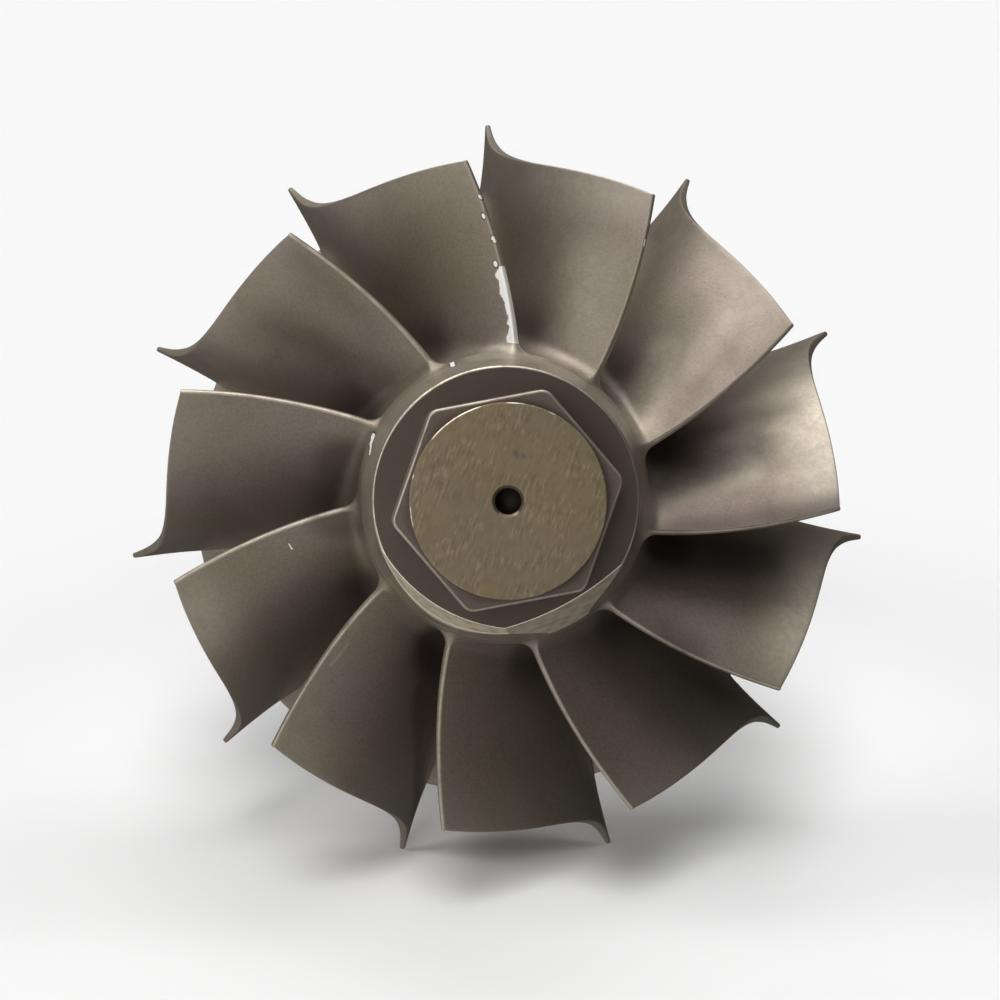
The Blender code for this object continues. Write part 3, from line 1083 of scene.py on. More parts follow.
@dataclass
class Shaft:
    """The welded shaft: four turned stages and the thread."""

    sizes: ShaftSizes = field(default_factory=ShaftSizes)
    steps: int = 192
    tint_full: float = 0.3
    tint_reach: float = 3.5
    pitch: float = 1.0
    thread_depth: float = 0.61
    wave_top: float = 1.25
    wave_slope: float = 3.0
    run_out: tuple[float, float] = (0.2, 1.2)
    thread_steps: int = 96
    rows_per_turn: int = 16

    def stage(self, corners: Sequence[tuple[float, float, float]]) -> Skin:
        """Returns one turned stage, front to back, with a heat tint that fades away from the weld.

        Args:
            corners: The (radius, z, size) corners of its outer line, each rounded by its size.

        Returns:
            The stage's surface.
        """
        profile = rounded_profile([(0.0, corners[0][1], 0.0), *corners, (0.0, corners[-1][1], 0.0)])
        away = np.abs(profile[:, 1] - self.sizes.weld_boss_end_z)
        tint = (1 - smooth_step(self.tint_full, self.tint_reach, away))[:, None]
        return Skin(revolve(profile, self.steps), {Mask.TINT: tint})

    def weld_boss(self) -> Skin:
        """Turns the boss that the shaft is welded to.

        Returns:
            The surface.
        """
        sizes = self.sizes
        return self.stage(
            [
                (sizes.weld_boss_radius + sizes.weld_boss_foot, sizes.disc_back_z, 0.0),
                (sizes.weld_boss_radius, sizes.disc_back_z - sizes.weld_boss_foot, sizes.weld_round),
                (sizes.weld_boss_radius, sizes.weld_boss_end_z + sizes.weld_boss_step, sizes.step_round),
                (sizes.seal_radius, sizes.weld_boss_end_z, 0.0),
            ]
        )

    def seal_boss(self) -> Skin:
        """Turns the boss with the groove for the seal ring.

        Returns:
            The surface.
        """
        sizes = self.sizes
        front = sizes.groove_z + sizes.groove_width / 2
        back = sizes.groove_z - sizes.groove_width / 2
        return self.stage(
            [
                (sizes.seal_radius, sizes.weld_boss_end_z, 0.0),
                (sizes.seal_radius, front, sizes.groove_lip),
                (sizes.groove_radius, front, sizes.groove_root),
                (sizes.groove_radius, back, sizes.groove_root),
                (sizes.seal_radius, back, sizes.groove_lip),
                (sizes.seal_radius, sizes.seal_end_z + sizes.end_chamfer, sizes.chamfer_round),
                (sizes.seal_radius - sizes.end_chamfer, sizes.seal_end_z, sizes.chamfer_round),
            ]
        )

    def journal(self) -> Skin:
        """Turns the shaft between the bearings, with its thinner waist.

        Returns:
            The surface.
        """
        sizes = self.sizes
        front = sizes.seal_end_z - sizes.journal_length
        end_z = sizes.shoulder_z + sizes.shoulder_length
        back = end_z + sizes.journal_length
        return self.stage(
            [
                (sizes.journal_radius, sizes.seal_end_z, 0.0),
                (sizes.journal_radius, front, sizes.land_round),
                (sizes.waist_radius, front - sizes.journal_taper, sizes.step_round),
                (sizes.waist_radius, back + sizes.journal_taper, sizes.step_round),
                (sizes.journal_radius, back, sizes.land_round),
                (sizes.journal_radius, end_z, 0.0),
            ]
        )

    def stub(self) -> Skin:
        """Turns the shoulder and the thin stage that a compressor wheel is clamped on.

        Returns:
            The surface.
        """
        sizes = self.sizes
        return self.stage(
            [
                (sizes.journal_radius, sizes.shoulder_z + sizes.shoulder_length, 0.0),
                (sizes.journal_radius, sizes.shoulder_z, sizes.land_round),
                (sizes.stub_radius, sizes.shoulder_z, sizes.groove_root),
                (sizes.stub_radius, sizes.stub_end_z, 0.0),
            ]
        )

    def thread(self) -> Skin:
        """Returns the threaded end: a cylinder cut by a helical groove with sides at 60 degrees.

        The radius is r = outer - depth * w, where w is a wave with flat crests and roots of the phase
        z / pitch - angle / turn, and it fades out at the stub; at the end a chamfer limits r.

        Returns:
            The surface.
        """
        sizes = self.sizes
        turns = (sizes.stub_end_z - sizes.thread_end_z) / self.pitch
        z = np.linspace(sizes.stub_end_z, sizes.thread_end_z, int(turns * self.rows_per_turn))[:, None]
        angle = (np.arange(self.thread_steps) * math.tau / self.thread_steps)[None, :]
        phase = (z / self.pitch - angle / math.tau) % 1.0
        wave = np.clip(self.wave_top - self.wave_slope * np.abs(phase - 0.5), 0, 1)
        fade = smooth_step(*self.run_out, sizes.stub_end_z - z)
        radius = sizes.thread_radius - self.thread_depth * wave * fade
        radius = np.minimum(radius, sizes.thread_radius - sizes.end_chamfer + (z - sizes.thread_end_z))
        wall = polar(radius, angle, z)
        cap = wall[[0, -1]] * [0, 0, 1]
        return Skin(np.concatenate([cap[:1], wall, cap[1:]]))


class Signal:
    """A shader socket that Python's operators can work on: each one adds a Math node."""

    def __init__(self, tree: "Tree", socket: bpy.types.NodeSocket | None) -> None:
        """Keeps the tree and the socket."""
        self.tree = tree
        self.socket = socket

    def _math(self, operation: str, first: Any, second: Any, clamp: bool = False) -> "Signal":
        """Adds a Math node and returns its result."""
        settings = {"operation": operation, "use_clamp": clamp}
        return self.tree.add("ShaderNodeMath", settings, {0: first, 1: second})

    def __add__(self, other: Any) -> "Signal":
        """Adds."""
        return self._math("ADD", self, other)

    __radd__ = __add__

    def __sub__(self, other: Any) -> "Signal":
        """Subtracts other from this."""
        return self._math("SUBTRACT", self, other)

    def __rsub__(self, other: Any) -> "Signal":
        """Subtracts this from other."""
        return self._math("SUBTRACT", other, self)

    def __mul__(self, other: Any) -> "Signal":
        """Multiplies."""
        return self._math("MULTIPLY", self, other)

    __rmul__ = __mul__

    def clamped(self) -> "Signal":
        """Returns this held between 0 and 1."""
        return self._math("ADD", self, 0.0, clamp=True)

    def most(self, other: Any) -> "Signal":
        """Returns the larger of this and other."""
        return self._math("MAXIMUM", self, other)


@dataclass(frozen=True)
class Noise:
    """A fractal noise: how fine it is, how many finer layers it has and how strong each of them is."""

    scale: float
    detail: float
    roughness: float = 0.5


@dataclass(frozen=True)
class Fit:
    """The range of a signal that is carried smoothly into another range, and held there."""

    low: float
    high: float
    least: float = 0.0
    most: float = 1.0


class Tree:
    """Adds nodes to one node tree.

    The Mix node has several sockets of each name, so the ones for colours are numbered here.
    """

    MIX_FACTOR = 0
    MIX_COLOURS = (6, 7)
    MIX_RESULT = 2

    def __init__(self, tree: bpy.types.NodeTree) -> None:
        """Empties the tree."""
        self.tree = tree
        tree.nodes.clear()

    def add(self, kind: str, settings: Mapping[str, Any], inputs: Mapping[Any, Any],
            output: Any = 0) -> Signal:
        """Adds a node.

        Args:
            kind: The node's type.
            settings: Its properties, which are set first.
            inputs: A value or a Signal for each socket, by name or number.
            output: The name or number of the output that is wanted.

        Returns:
            That output, or no socket if the node has none.
        """
        node = self.tree.nodes.new(kind)
        for key, value in settings.items():
            setattr(node, key, value)
        for key, value in inputs.items():
            if isinstance(value, Signal):
                self.tree.links.new(value.socket, node.inputs[key])
            else:
                node.inputs[key].default_value = value
        return Signal(self, node.outputs[output] if len(node.outputs) else None)

    def mix(self, factor: Any, first: Any, second: Any) -> Signal:
        """Mixes two colours.

        Args:
            factor: The second one's share, from 0 to 1.
            first: The first colour.
            second: The second colour.

        Returns:
            The mixed colour.
        """
        colours = [(*item, 1.0) if isinstance(item, tuple) else item for item in (first, second)]
        inputs = {self.MIX_FACTOR: factor, **dict(zip(self.MIX_COLOURS, colours))}
        settings = {"data_type": "RGBA", "clamp_factor": True}
        return self.add("ShaderNodeMix", settings, inputs, self.MIX_RESULT)

    def fit(self, value: Signal, fit: Fit) -> Signal:
        """Carries a signal from one range smoothly into another, and holds it there.

        Args:
            value: The signal.
            fit: The two ranges.

        Returns:
            The signal in the second range.
        """
        ranges = {"From Min": fit.low, "From Max": fit.high, "To Min": fit.least, "To Max": fit.most}
        settings = {"interpolation_type": "SMOOTHSTEP", "clamp": True}
        return self.add("ShaderNodeMapRange", settings, {"Value": value, **ranges})

    def noise(self, place: Signal, noise: Noise) -> Signal:
        """Returns fractal noise at a place, about 0 to 1 round one half."""
        inputs = {"Scale": noise.scale, "Detail": noise.detail, "Roughness": noise.roughness}
        return self.add("ShaderNodeTexNoise", {}, {"Vector": place, **inputs})

    def vector(self, operation: str, inputs: Mapping[Any, Any], output: Any = 0) -> Signal:
        """Adds a Vector Math node and returns its result."""
        return self.add("ShaderNodeVectorMath", {"operation": operation}, inputs, output)

    def stretched(self, place: Signal, scale: tuple[float, float, float]) -> Signal:
        """Returns a place with each of its axes scaled."""
        return self.vector("MULTIPLY", {0: place, 1: scale})

    def mask(self, mask: Mask) -> Signal:
        """Returns a piece's point attribute."""
        return self.add("ShaderNodeAttribute", {"attribute_name": mask.value}, {}, output="Fac")

    def local(self, rotor: RotorFrame) -> Signal:
        """Finds the place in the rotor's frame, in metres, from the Object coordinates.

        Args:
            rotor: Where the rotor stands.

        Returns:
            The place.
        """
        inverse = rotor.matrix().inverted()
        place = self.add("ShaderNodeTexCoord", {}, {}, output="Object")
        inputs = {"Vector": place, "Location": inverse.translation, "Rotation": inverse.to_euler()}
        return self.add("ShaderNodeMapping", {"vector_type": "POINT"}, inputs)

    def bump(self, height: Signal, distance: float, strength: float) -> Signal:
        """Returns the normal of a surface raised by a height."""
        return self.add("ShaderNodeBump", {}, {"Height": height, "Distance": distance, "Strength": strength})

    def surface(self, inputs: Mapping[str, Any]) -> None:
        """Adds the Principled shader with its inputs, and the output."""
        shader = self.add("ShaderNodeBsdfPrincipled", {}, inputs)
        self.add("ShaderNodeOutputMaterial", {}, {"Surface": shader})


@dataclass(frozen=True)
class Streak:
    """A mark with round ends: the middles of its ends and its radius in metres, and its strength."""

    start: tuple[float, float, float]
    end: tuple[float, float, float]
    radius: float
    strength: float


class Finish:
    """A surface finish, made once as a material and then shared."""

    name = "finish"
    slot = Slot.CAST
    mark_edge = Noise(3200.0, 2.0)
    mark_raggedness = 1.4
    mark_share = Fit(0.0, 0.15)
    halo_share = Fit(-0.9, -0.3)

    def __init__(self, rotor: RotorFrame, chips: Sequence[Streak] = (), painted_light: Sequence[Streak] = (),
                 painted_shade: Sequence[Streak] = ()) -> None:
        """Makes the material.

        Args:
            rotor: Where the rotor stands.
            chips: The small marks.
            painted_light: The broad patches of painted highlight.
            painted_shade: The broad patches of painted shade.
        """
        self.rotor = rotor
        self.chips = chips
        self.painted_light_patches = painted_light
        self.painted_shade_patches = painted_shade
        self.material = bpy.data.materials.new(self.name)
        self.material.use_nodes = True
        self.paint(Tree(self.material.node_tree))

    def paint(self, tree: Tree) -> None:
        """Fills the material's nodes, which each finish does in its own way."""
        raise NotImplementedError

    def marks(self, tree: Tree, place: Signal) -> tuple[Signal, Signal]:
        """Finds the small marks: inside any chip's radius, with an edge that noise makes uneven.

        Args:
            tree: The material's nodes.
            place: The place in the rotor's frame.

        Returns:
            One signal that is 1 on the marks, and one that is 1 in the dark dents round them.
        """
        uneven = self.mark_raggedness * (tree.noise(place, self.mark_edge) - NOISE_MIDDLE)
        ragged = self.nearness(tree, place, self.chips) + uneven
        return tree.fit(ragged, self.mark_share), tree.fit(ragged, self.halo_share)

    @staticmethod
    def nearness(tree: Tree, place: Signal, streaks: Sequence[Streak]) -> Signal:
        """Finds how near a place is to the middle line of any streak.

        A place p lies nearest to the line's point a + s (b - a), where s = (p - a).(b - a) / |b - a|^2 is
        held between 0 and 1.

        Args:
            tree: The material's nodes.
            place: The place in the rotor's frame.
            streaks: The streaks, from their start a to their end b.

        Returns:
            The most of strength (1 - distance / radius) over the streaks, which is 0 at a rim.
        """
        found = None
        for streak in streaks:
            line = Vector(streak.end) - Vector(streak.start)
            apart = tree.vector("SUBTRACT", {0: place, 1: streak.start})
            share = tree.vector("DOT_PRODUCT", {0: apart, 1: line}, "Value") * (1 / line.length_squared)
            nearest = tree.vector("SCALE", {0: line, "Scale": share.clamped()})
            away = tree.vector("DISTANCE", {0: apart, 1: nearest}, "Value")
            near = streak.strength - away * (streak.strength / streak.radius)
            found = near if found is None else found.most(near)
        return found

    def dress_all(self, pieces: Sequence[bpy.types.Object]) -> None:
        """Gives the finish to pieces.

        Args:
            pieces: The pieces.
        """
        for piece in pieces:
            piece.data.materials.clear()
            piece.data.materials.append(self.material)


class CastFinish(Finish):
    """Blasted cast alloy: warm grey-brown, mottled, with rubbed edges and bare chips, painted shade in its
    hollows and painted highlights on its edges and lit places.
    """

    name = "cast_heat_resistant_alloy"
    slot = Slot.CAST
    brown = (0.252, 0.203, 0.172)
    olive = (0.225, 0.190, 0.138)
    # Dark tone: used for the random mottle and as the colour of painted shade.
    darkening = (0.080, 0.060, 0.050)
    # Colour of rubbed edges, also used as a painted highlight.
    edge = (0.64, 0.58, 0.48)
    bare = (0.84, 0.82, 0.79)
    # Ground metal, made light enough to stand in partly for a painted reflection.
    ground = (0.76, 0.66, 0.50)
    # Painted highlight on the facets' edges.
    facet_line_highlight = (0.95, 0.84, 0.66)
    # Painted highlight on the blades' outer ends and on patches.
    painted_light = (0.44, 0.39, 0.315)
    # Painted shade deep in the passages at the blades' roots.
    root_z = Fit(0.0208, 0.0180)
    root_radius = Fit(0.0195, 0.0155)
    painted_shade_patch_share = Fit(0.0, 0.9)
    painted_light_radius = Fit(0.024, 0.034, 0.0, 0.4)
    painted_light_patch_share = Fit(0.0, 1.0, 0.0, 0.7)
    broad_noise = Noise(70.0, 2.0)
    mottle_noise = Noise(480.0, 4.0, 0.6)
    grain_noise = Noise(4200.0, 3.0, 0.7)
    speckle_noise = Noise(1900.0, 3.0, 0.7)
    ground_noise = Noise(900.0, 3.0)
    rub_noise = Noise(1300.0, 3.0)
    olive_share = Fit(0.35, 0.65)
    mottle_share = Fit(0.5, 0.8, 0.0, 0.16)
    grain_share = Fit(0.35, 0.7, 0.0, 0.3)
    speckle_share = Fit(0.35, 0.65, 0.7, 1.0)
    ground_share = Fit(0.3, 0.6, 0.6, 1.0)
    line_highlight_share = Fit(0.3, 0.6)
    edge_share = Fit(0.3, 0.6, 0.35, 1.0)
    rub_share = Fit(0.47, 0.53)
    rub_raggedness = 0.5
    shade_cover = 0.62
    edge_highlight_cover = 0.45
    halo_cover = 0.65
    roughness = Fit(0.3, 0.7, 0.4, 0.5)
    worn_gloss = 0.08
    metallic = 0.5
    metallic_change = 0.3
    specular = 0.2
    mottle_height = 0.5
    bump_distance = 0.00005
    bump_strength = 0.3

    def by_place(self, tree: Tree, place: Signal) -> tuple[Signal, Signal]:
        """Finds the painted shade at the roots of the blades, the painted highlight on their outer ends, and
        the patches of both.

        Args:
            tree: The material's nodes.
            place: The place in the rotor's frame.

        Returns:
            A signal that is 1 where most shade is painted, and one that is 1 where most highlight is painted.
        """
        radius = tree.vector("LENGTH", {0: tree.stretched(place, (1.0, 1.0, 0.0))}, "Value")
        height = tree.add("ShaderNodeSeparateXYZ", {}, {0: place}, output="Z")
        roots = tree.fit(height, self.root_z) * tree.fit(radius, self.root_radius)
        painted_shade = tree.fit(self.nearness(tree, place, self.painted_shade_patches), self.painted_shade_patch_share)
        ends = tree.fit(radius, self.painted_light_radius)
        painted_light = tree.fit(self.nearness(tree, place, self.painted_light_patches), self.painted_light_patch_share)
        return roots + painted_shade, (ends + painted_light).clamped()

    def paint(self, tree: Tree) -> None:
        """Mixes the colours with noise, then the masks, and raises a fine grain.

        Args:
            tree: The material's nodes.
        """
        place = tree.local(self.rotor)
        broad = tree.noise(place, self.broad_noise)
        mottle = tree.noise(place, self.mottle_noise)
        grain = tree.noise(place, self.grain_noise)
        colour = tree.mix(tree.fit(broad, self.olive_share), self.brown, self.olive)
        colour = tree.mix(tree.fit(mottle, self.mottle_share), colour, self.darkening)
        colour = tree.mix(tree.fit(grain, self.grain_share), colour, self.darkening)
        painted_shade, painted_light = self.by_place(tree, place)
        speckle = tree.fit(tree.noise(place, self.speckle_noise), self.speckle_share)
        # Painted highlight, with fine glints.
        colour = tree.mix(painted_light * speckle, colour, self.painted_light)
        # Painted shade from the mask and the patches.
        colour = tree.mix(tree.mask(Mask.SHADE).most(painted_shade) * self.shade_cover, colour, self.darkening)
        lay = tree.fit(tree.noise(place, self.ground_noise), self.ground_share)
        # Ground facets, partly a painted reflection.
        ground = tree.mask(Mask.GROUND_AND_REFLECTION) * lay
        colour = tree.mix(ground, colour, self.ground)
        # Painted highlight lines on the facets' edges.
        colour = tree.mix(tree.fit(tree.mask(Mask.LINE_HIGHLIGHT), self.line_highlight_share), colour, self.facet_line_highlight)
        # Rubbed edges, partly a painted highlight where they catch the light.
        edge = tree.mask(Mask.EDGE_AND_HIGHLIGHT) * tree.fit(mottle, self.edge_share)
        colour = tree.mix(edge * self.edge_highlight_cover, colour, self.edge)
        uneven = self.rub_raggedness * (tree.noise(place, self.rub_noise) - NOISE_MIDDLE)
        mark, halo = self.marks(tree, place)
        bare = tree.fit(tree.mask(Mask.BARE) + uneven, self.rub_share).most(mark)
        colour = tree.mix(halo * self.halo_cover, colour, self.darkening)
        colour = tree.mix(bare, colour, self.bare)
        bright = edge - ground.most(bare)
        height = grain + mottle * self.mottle_height
        tree.surface(
            {
                "Base Color": colour,
                "Roughness": tree.fit(mottle, self.roughness) - self.worn_gloss * (edge + painted_light),
                "Metallic": (self.metallic + self.metallic_change * bright).clamped(),
                "Specular IOR Level": self.specular,
                "Normal": tree.bump(height, self.bump_distance, self.bump_strength),
            }
        )


class TurnedFinish(Finish):
    """The nose face: olive-brown, dull, with a slanting lay of short strokes."""

    name = "turned_nose_alloy"
    slot = Slot.TURNED
    olive = (0.205, 0.161, 0.093)
    grey = (0.200, 0.155, 0.103)
    stroke = (0.34, 0.28, 0.185)
    dark = (0.120, 0.092, 0.056)
    pit = (0.10, 0.08, 0.07)
    # Near black: painted shade inside the centre hole.
    hole = (0.012, 0.010, 0.010)
    bare = (0.75, 0.68, 0.52)
    lay = math.radians(70)
    stroke_scale = (950.0, 3900.0, 100.0)
    stroke_noise = Noise(1.0, 2.0, 0.6)
    patch_noise = Noise(800.0, 5.0, 0.7)
    cloud_noise = Noise(120.0, 2.0)
    shown_noise = Noise(420.0, 2.0)
    edge_noise = Noise(500.0, 2.0)
    grey_share = Fit(0.4, 0.62)
    patch_share = Fit(0.47, 0.7, 0.0, 0.25)
    shown_share = Fit(0.42, 0.58, 0.25, 1.0)
    light_share = Fit(0.53, 0.63, 0.0, 0.42)
    dark_share = Fit(0.47, 0.36, 0.0, 0.5)
    edge_share = Fit(0.47, 0.57)
    pit_cover = 0.35
    halo_cover = 0.25
    roughness = Fit(0.35, 0.7, 0.5, 0.62)
    worn_gloss = 0.15
    metallic = 0.5
    worn_metallic = 0.4
    specular = 0.2
    bump_distance = 0.00003
    bump_strength = 0.4

    def paint(self, tree: Tree) -> None:
        """Mixes patches and slanting strokes, with painted shade in the centre hole and a painted highlight
        on one side of the edge and at the bottom of the hole's mouth.

        Args:
            tree: The material's nodes.
        """
        place = tree.local(self.rotor)
        across = {"Vector": place, "Rotation": (0.0, 0.0, -self.lay)}
        turned = tree.add("ShaderNodeMapping", {"vector_type": "POINT"}, across)
        strokes = tree.noise(tree.stretched(turned, self.stroke_scale), self.stroke_noise)
        patches = tree.noise(place, self.patch_noise)
        cloud = tree.noise(place, self.cloud_noise)
        colour = tree.mix(tree.fit(cloud, self.grey_share), self.olive, self.grey)
        colour = tree.mix(tree.fit(patches, self.patch_share), colour, self.dark)
        shown = tree.fit(tree.noise(place, self.shown_noise), self.shown_share)
        colour = tree.mix(tree.fit(strokes, self.light_share) * shown, colour, self.stroke)
        colour = tree.mix(tree.fit(strokes, self.dark_share) * shown, colour, self.dark)
        # Painted shade in the centre hole and on the mouth.
        colour = tree.mix(tree.mask(Mask.SHADE), colour, self.hole)
        mark, halo = self.marks(tree, place)
        colour = tree.mix(mark * self.pit_cover + halo * self.halo_cover, colour, self.pit)
        # Painted highlight on one side of the face's edge and a painted glint at the hole's mouth, in the
        # bare colour.
        edge = tree.mask(Mask.EDGE_AND_HIGHLIGHT) * tree.fit(tree.noise(place, self.edge_noise), self.edge_share)
        colour = tree.mix(edge, colour, self.bare)
        tree.surface(
            {
                "Base Color": colour,
                "Roughness": tree.fit(patches, self.roughness) - self.worn_gloss * edge,
                "Metallic": self.metallic + self.worn_metallic * edge,
                "Specular IOR Level": self.specular,
                "Normal": tree.bump(strokes, self.bump_distance, self.bump_strength),
            }
        )


class ShaftFinish(Finish):
    """Ground shaft steel with a fine circular lay, and straw and blue tints by the weld."""

    name = "ground_shaft_steel"
    slot = Slot.SHAFT
    steel = (0.56, 0.56, 0.55)
    stain = (0.34, 0.31, 0.27)
    straw = (0.50, 0.36, 0.16)
    blue = (0.16, 0.19, 0.30)
    lay_scale = (60.0, 60.0, 9000.0)
    lay_noise = Noise(1.0, 3.0, 0.6)
    stain_noise = Noise(130.0, 5.0, 0.6)
    stain_share = Fit(0.5, 0.75, 0.0, 0.6)
    straw_share = Fit(0.05, 0.45, 0.0, 0.7)
    blue_share = Fit(0.55, 0.95, 0.0, 0.8)
    stain_roughness = Fit(0.45, 0.7, 0.27, 0.37)
    lay_roughness = 0.16
    metallic = 1.0
    bump_distance = 0.000008
    bump_strength = 0.6

    def paint(self, tree: Tree) -> None:
        """Lays rings of noise along the axis over light stains, and tints the weld.

        Args:
            tree: The material's nodes.
        """
        place = tree.local(self.rotor)
        lay = tree.noise(tree.stretched(place, self.lay_scale), self.lay_noise)
        stain = tree.noise(place, self.stain_noise)
        colour = tree.mix(tree.fit(stain, self.stain_share), self.steel, self.stain)
        tint = tree.mask(Mask.TINT)
        colour = tree.mix(tree.fit(tint, self.straw_share), colour, self.straw)
        colour = tree.mix(tree.fit(tint, self.blue_share), colour, self.blue)
        tree.surface(
            {
                "Base Color": colour,
                "Roughness": tree.fit(stain, self.stain_roughness) + self.lay_roughness * lay,
                "Metallic": self.metallic,
                "Normal": tree.bump(lay, self.bump_distance, self.bump_strength),
            }
        )


@dataclass(frozen=True)
class PhotoCamera:
    """The camera of the photograph, turned and set back from the rotor's frame, in millimetres."""

    yaw: float = math.radians(1.43)
    pitch: float = math.radians(1.06)
    roll: float = math.radians(1.38)
    across: float = -0.327
    up: float = 0.611
    distance: float = 305.0
    focal_share: float = 3.1431
    clip_end: float = 50.0

    def matrix(self, rotor: RotorFrame) -> Matrix:
        """Works out the camera's place: a rotor point p shows at turn p + offset, so this is the inverse.

        Args:
            rotor: Where the rotor stands.

        Returns:
            The camera's matrix in the world, in metres.
        """
        tilt = Matrix.Rotation(self.pitch, 3, "X") @ Matrix.Rotation(self.yaw, 3, "Y")
        back = (Matrix.Rotation(self.roll, 3, "Z") @ tilt).transposed()
        offset = Vector((self.across, self.up, -self.distance)) * MM
        return rotor.matrix() @ Matrix.Translation(-(back @ offset)) @ back.to_4x4()

    def find(self, pixel: np.ndarray, rotor: RotorFrame, trees: Sequence[BVHTree]) -> Vector:
        """Finds the point of the surface that shows at a pixel of the photograph.

        Args:
            pixel: The pixel, across and down, of 1000 by 1000.
            rotor: Where the rotor stands.
            trees: The surfaces that may show there.

        Returns:
            The nearest surface point in the rotor's frame, in metres.
        """
        place = self.matrix(rotor)
        half = PHOTO_PIXELS / 2
        focal = self.focal_share * PHOTO_PIXELS
        across, down = (pixel - half) / focal
        direction = (place.to_3x3() @ Vector((across, -down, -1.0))).normalized()
        hits = [tree.ray_cast(place.translation, direction) for tree in trees]
        nearest = min((hit for hit in hits if hit[0] is not None), key=lambda hit: hit[3])
        return rotor.matrix().inverted() @ nearest[0]

    def build(self, rotor: RotorFrame) -> None:
        """Makes the camera.

        Args:
            rotor: Where the rotor stands.
        """
        data = bpy.data.cameras.new("photo_camera")
        camera = bpy.data.objects.new("photo_camera", data)
        bpy.context.scene.collection.objects.link(camera)
        camera.matrix_world = self.matrix(rotor)
        data.lens = self.focal_share * data.sensor_width
        data.clip_start = MM
        data.clip_end = self.clip_end
        bpy.context.scene.camera = camera


class Receiver(Enum):
    """What a light falls on."""

    OBJECT = "everything but the floor"
    FLOOR = "the floor alone"
    BACK = "the shaft and the disc alone"


@dataclass(frozen=True)
class SoftLight:
    """A far, wide light: where it stands as seen from the object, how wide it is and how strong.

    Azimuth 0 is in front of the nose, and 90 is to the right.
    """

    name: str
    azimuth: float
    elevation: float
    spread: float
    strength: float
    falls_on: Receiver = Receiver.OBJECT

    def build(self, floor: bpy.types.Object, back: Sequence[bpy.types.Object]) -> None:
        """Makes the light.

        Args:
            floor: The floor.
            back: The pieces behind the blades.
        """
        data = bpy.data.lights.new(self.name, "SUN")
        data.energy = self.strength
        data.angle = math.radians(self.spread)
        lamp = bpy.data.objects.new(self.name, data)
        azimuth = math.radians(self.azimuth)
        elevation = math.radians(self.elevation)
        towards = Vector(
            (
                math.sin(azimuth) * math.cos(elevation),
                -math.cos(azimuth) * math.cos(elevation),
                math.sin(elevation),
            )
        )
        lamp.rotation_euler = towards.to_track_quat("Z", "Y").to_euler()
        bpy.context.scene.collection.objects.link(lamp)
        receivers = bpy.data.collections.new(f"{self.name}_falls_on")
        for thing in back if self.falls_on is Receiver.BACK else [floor]:
            receivers.objects.link(thing)
        for link in receivers.collection_objects:
            link.light_linking.link_state = "EXCLUDE" if self.falls_on is Receiver.OBJECT else "INCLUDE"
        lamp.light_linking.receiver_collection = receivers


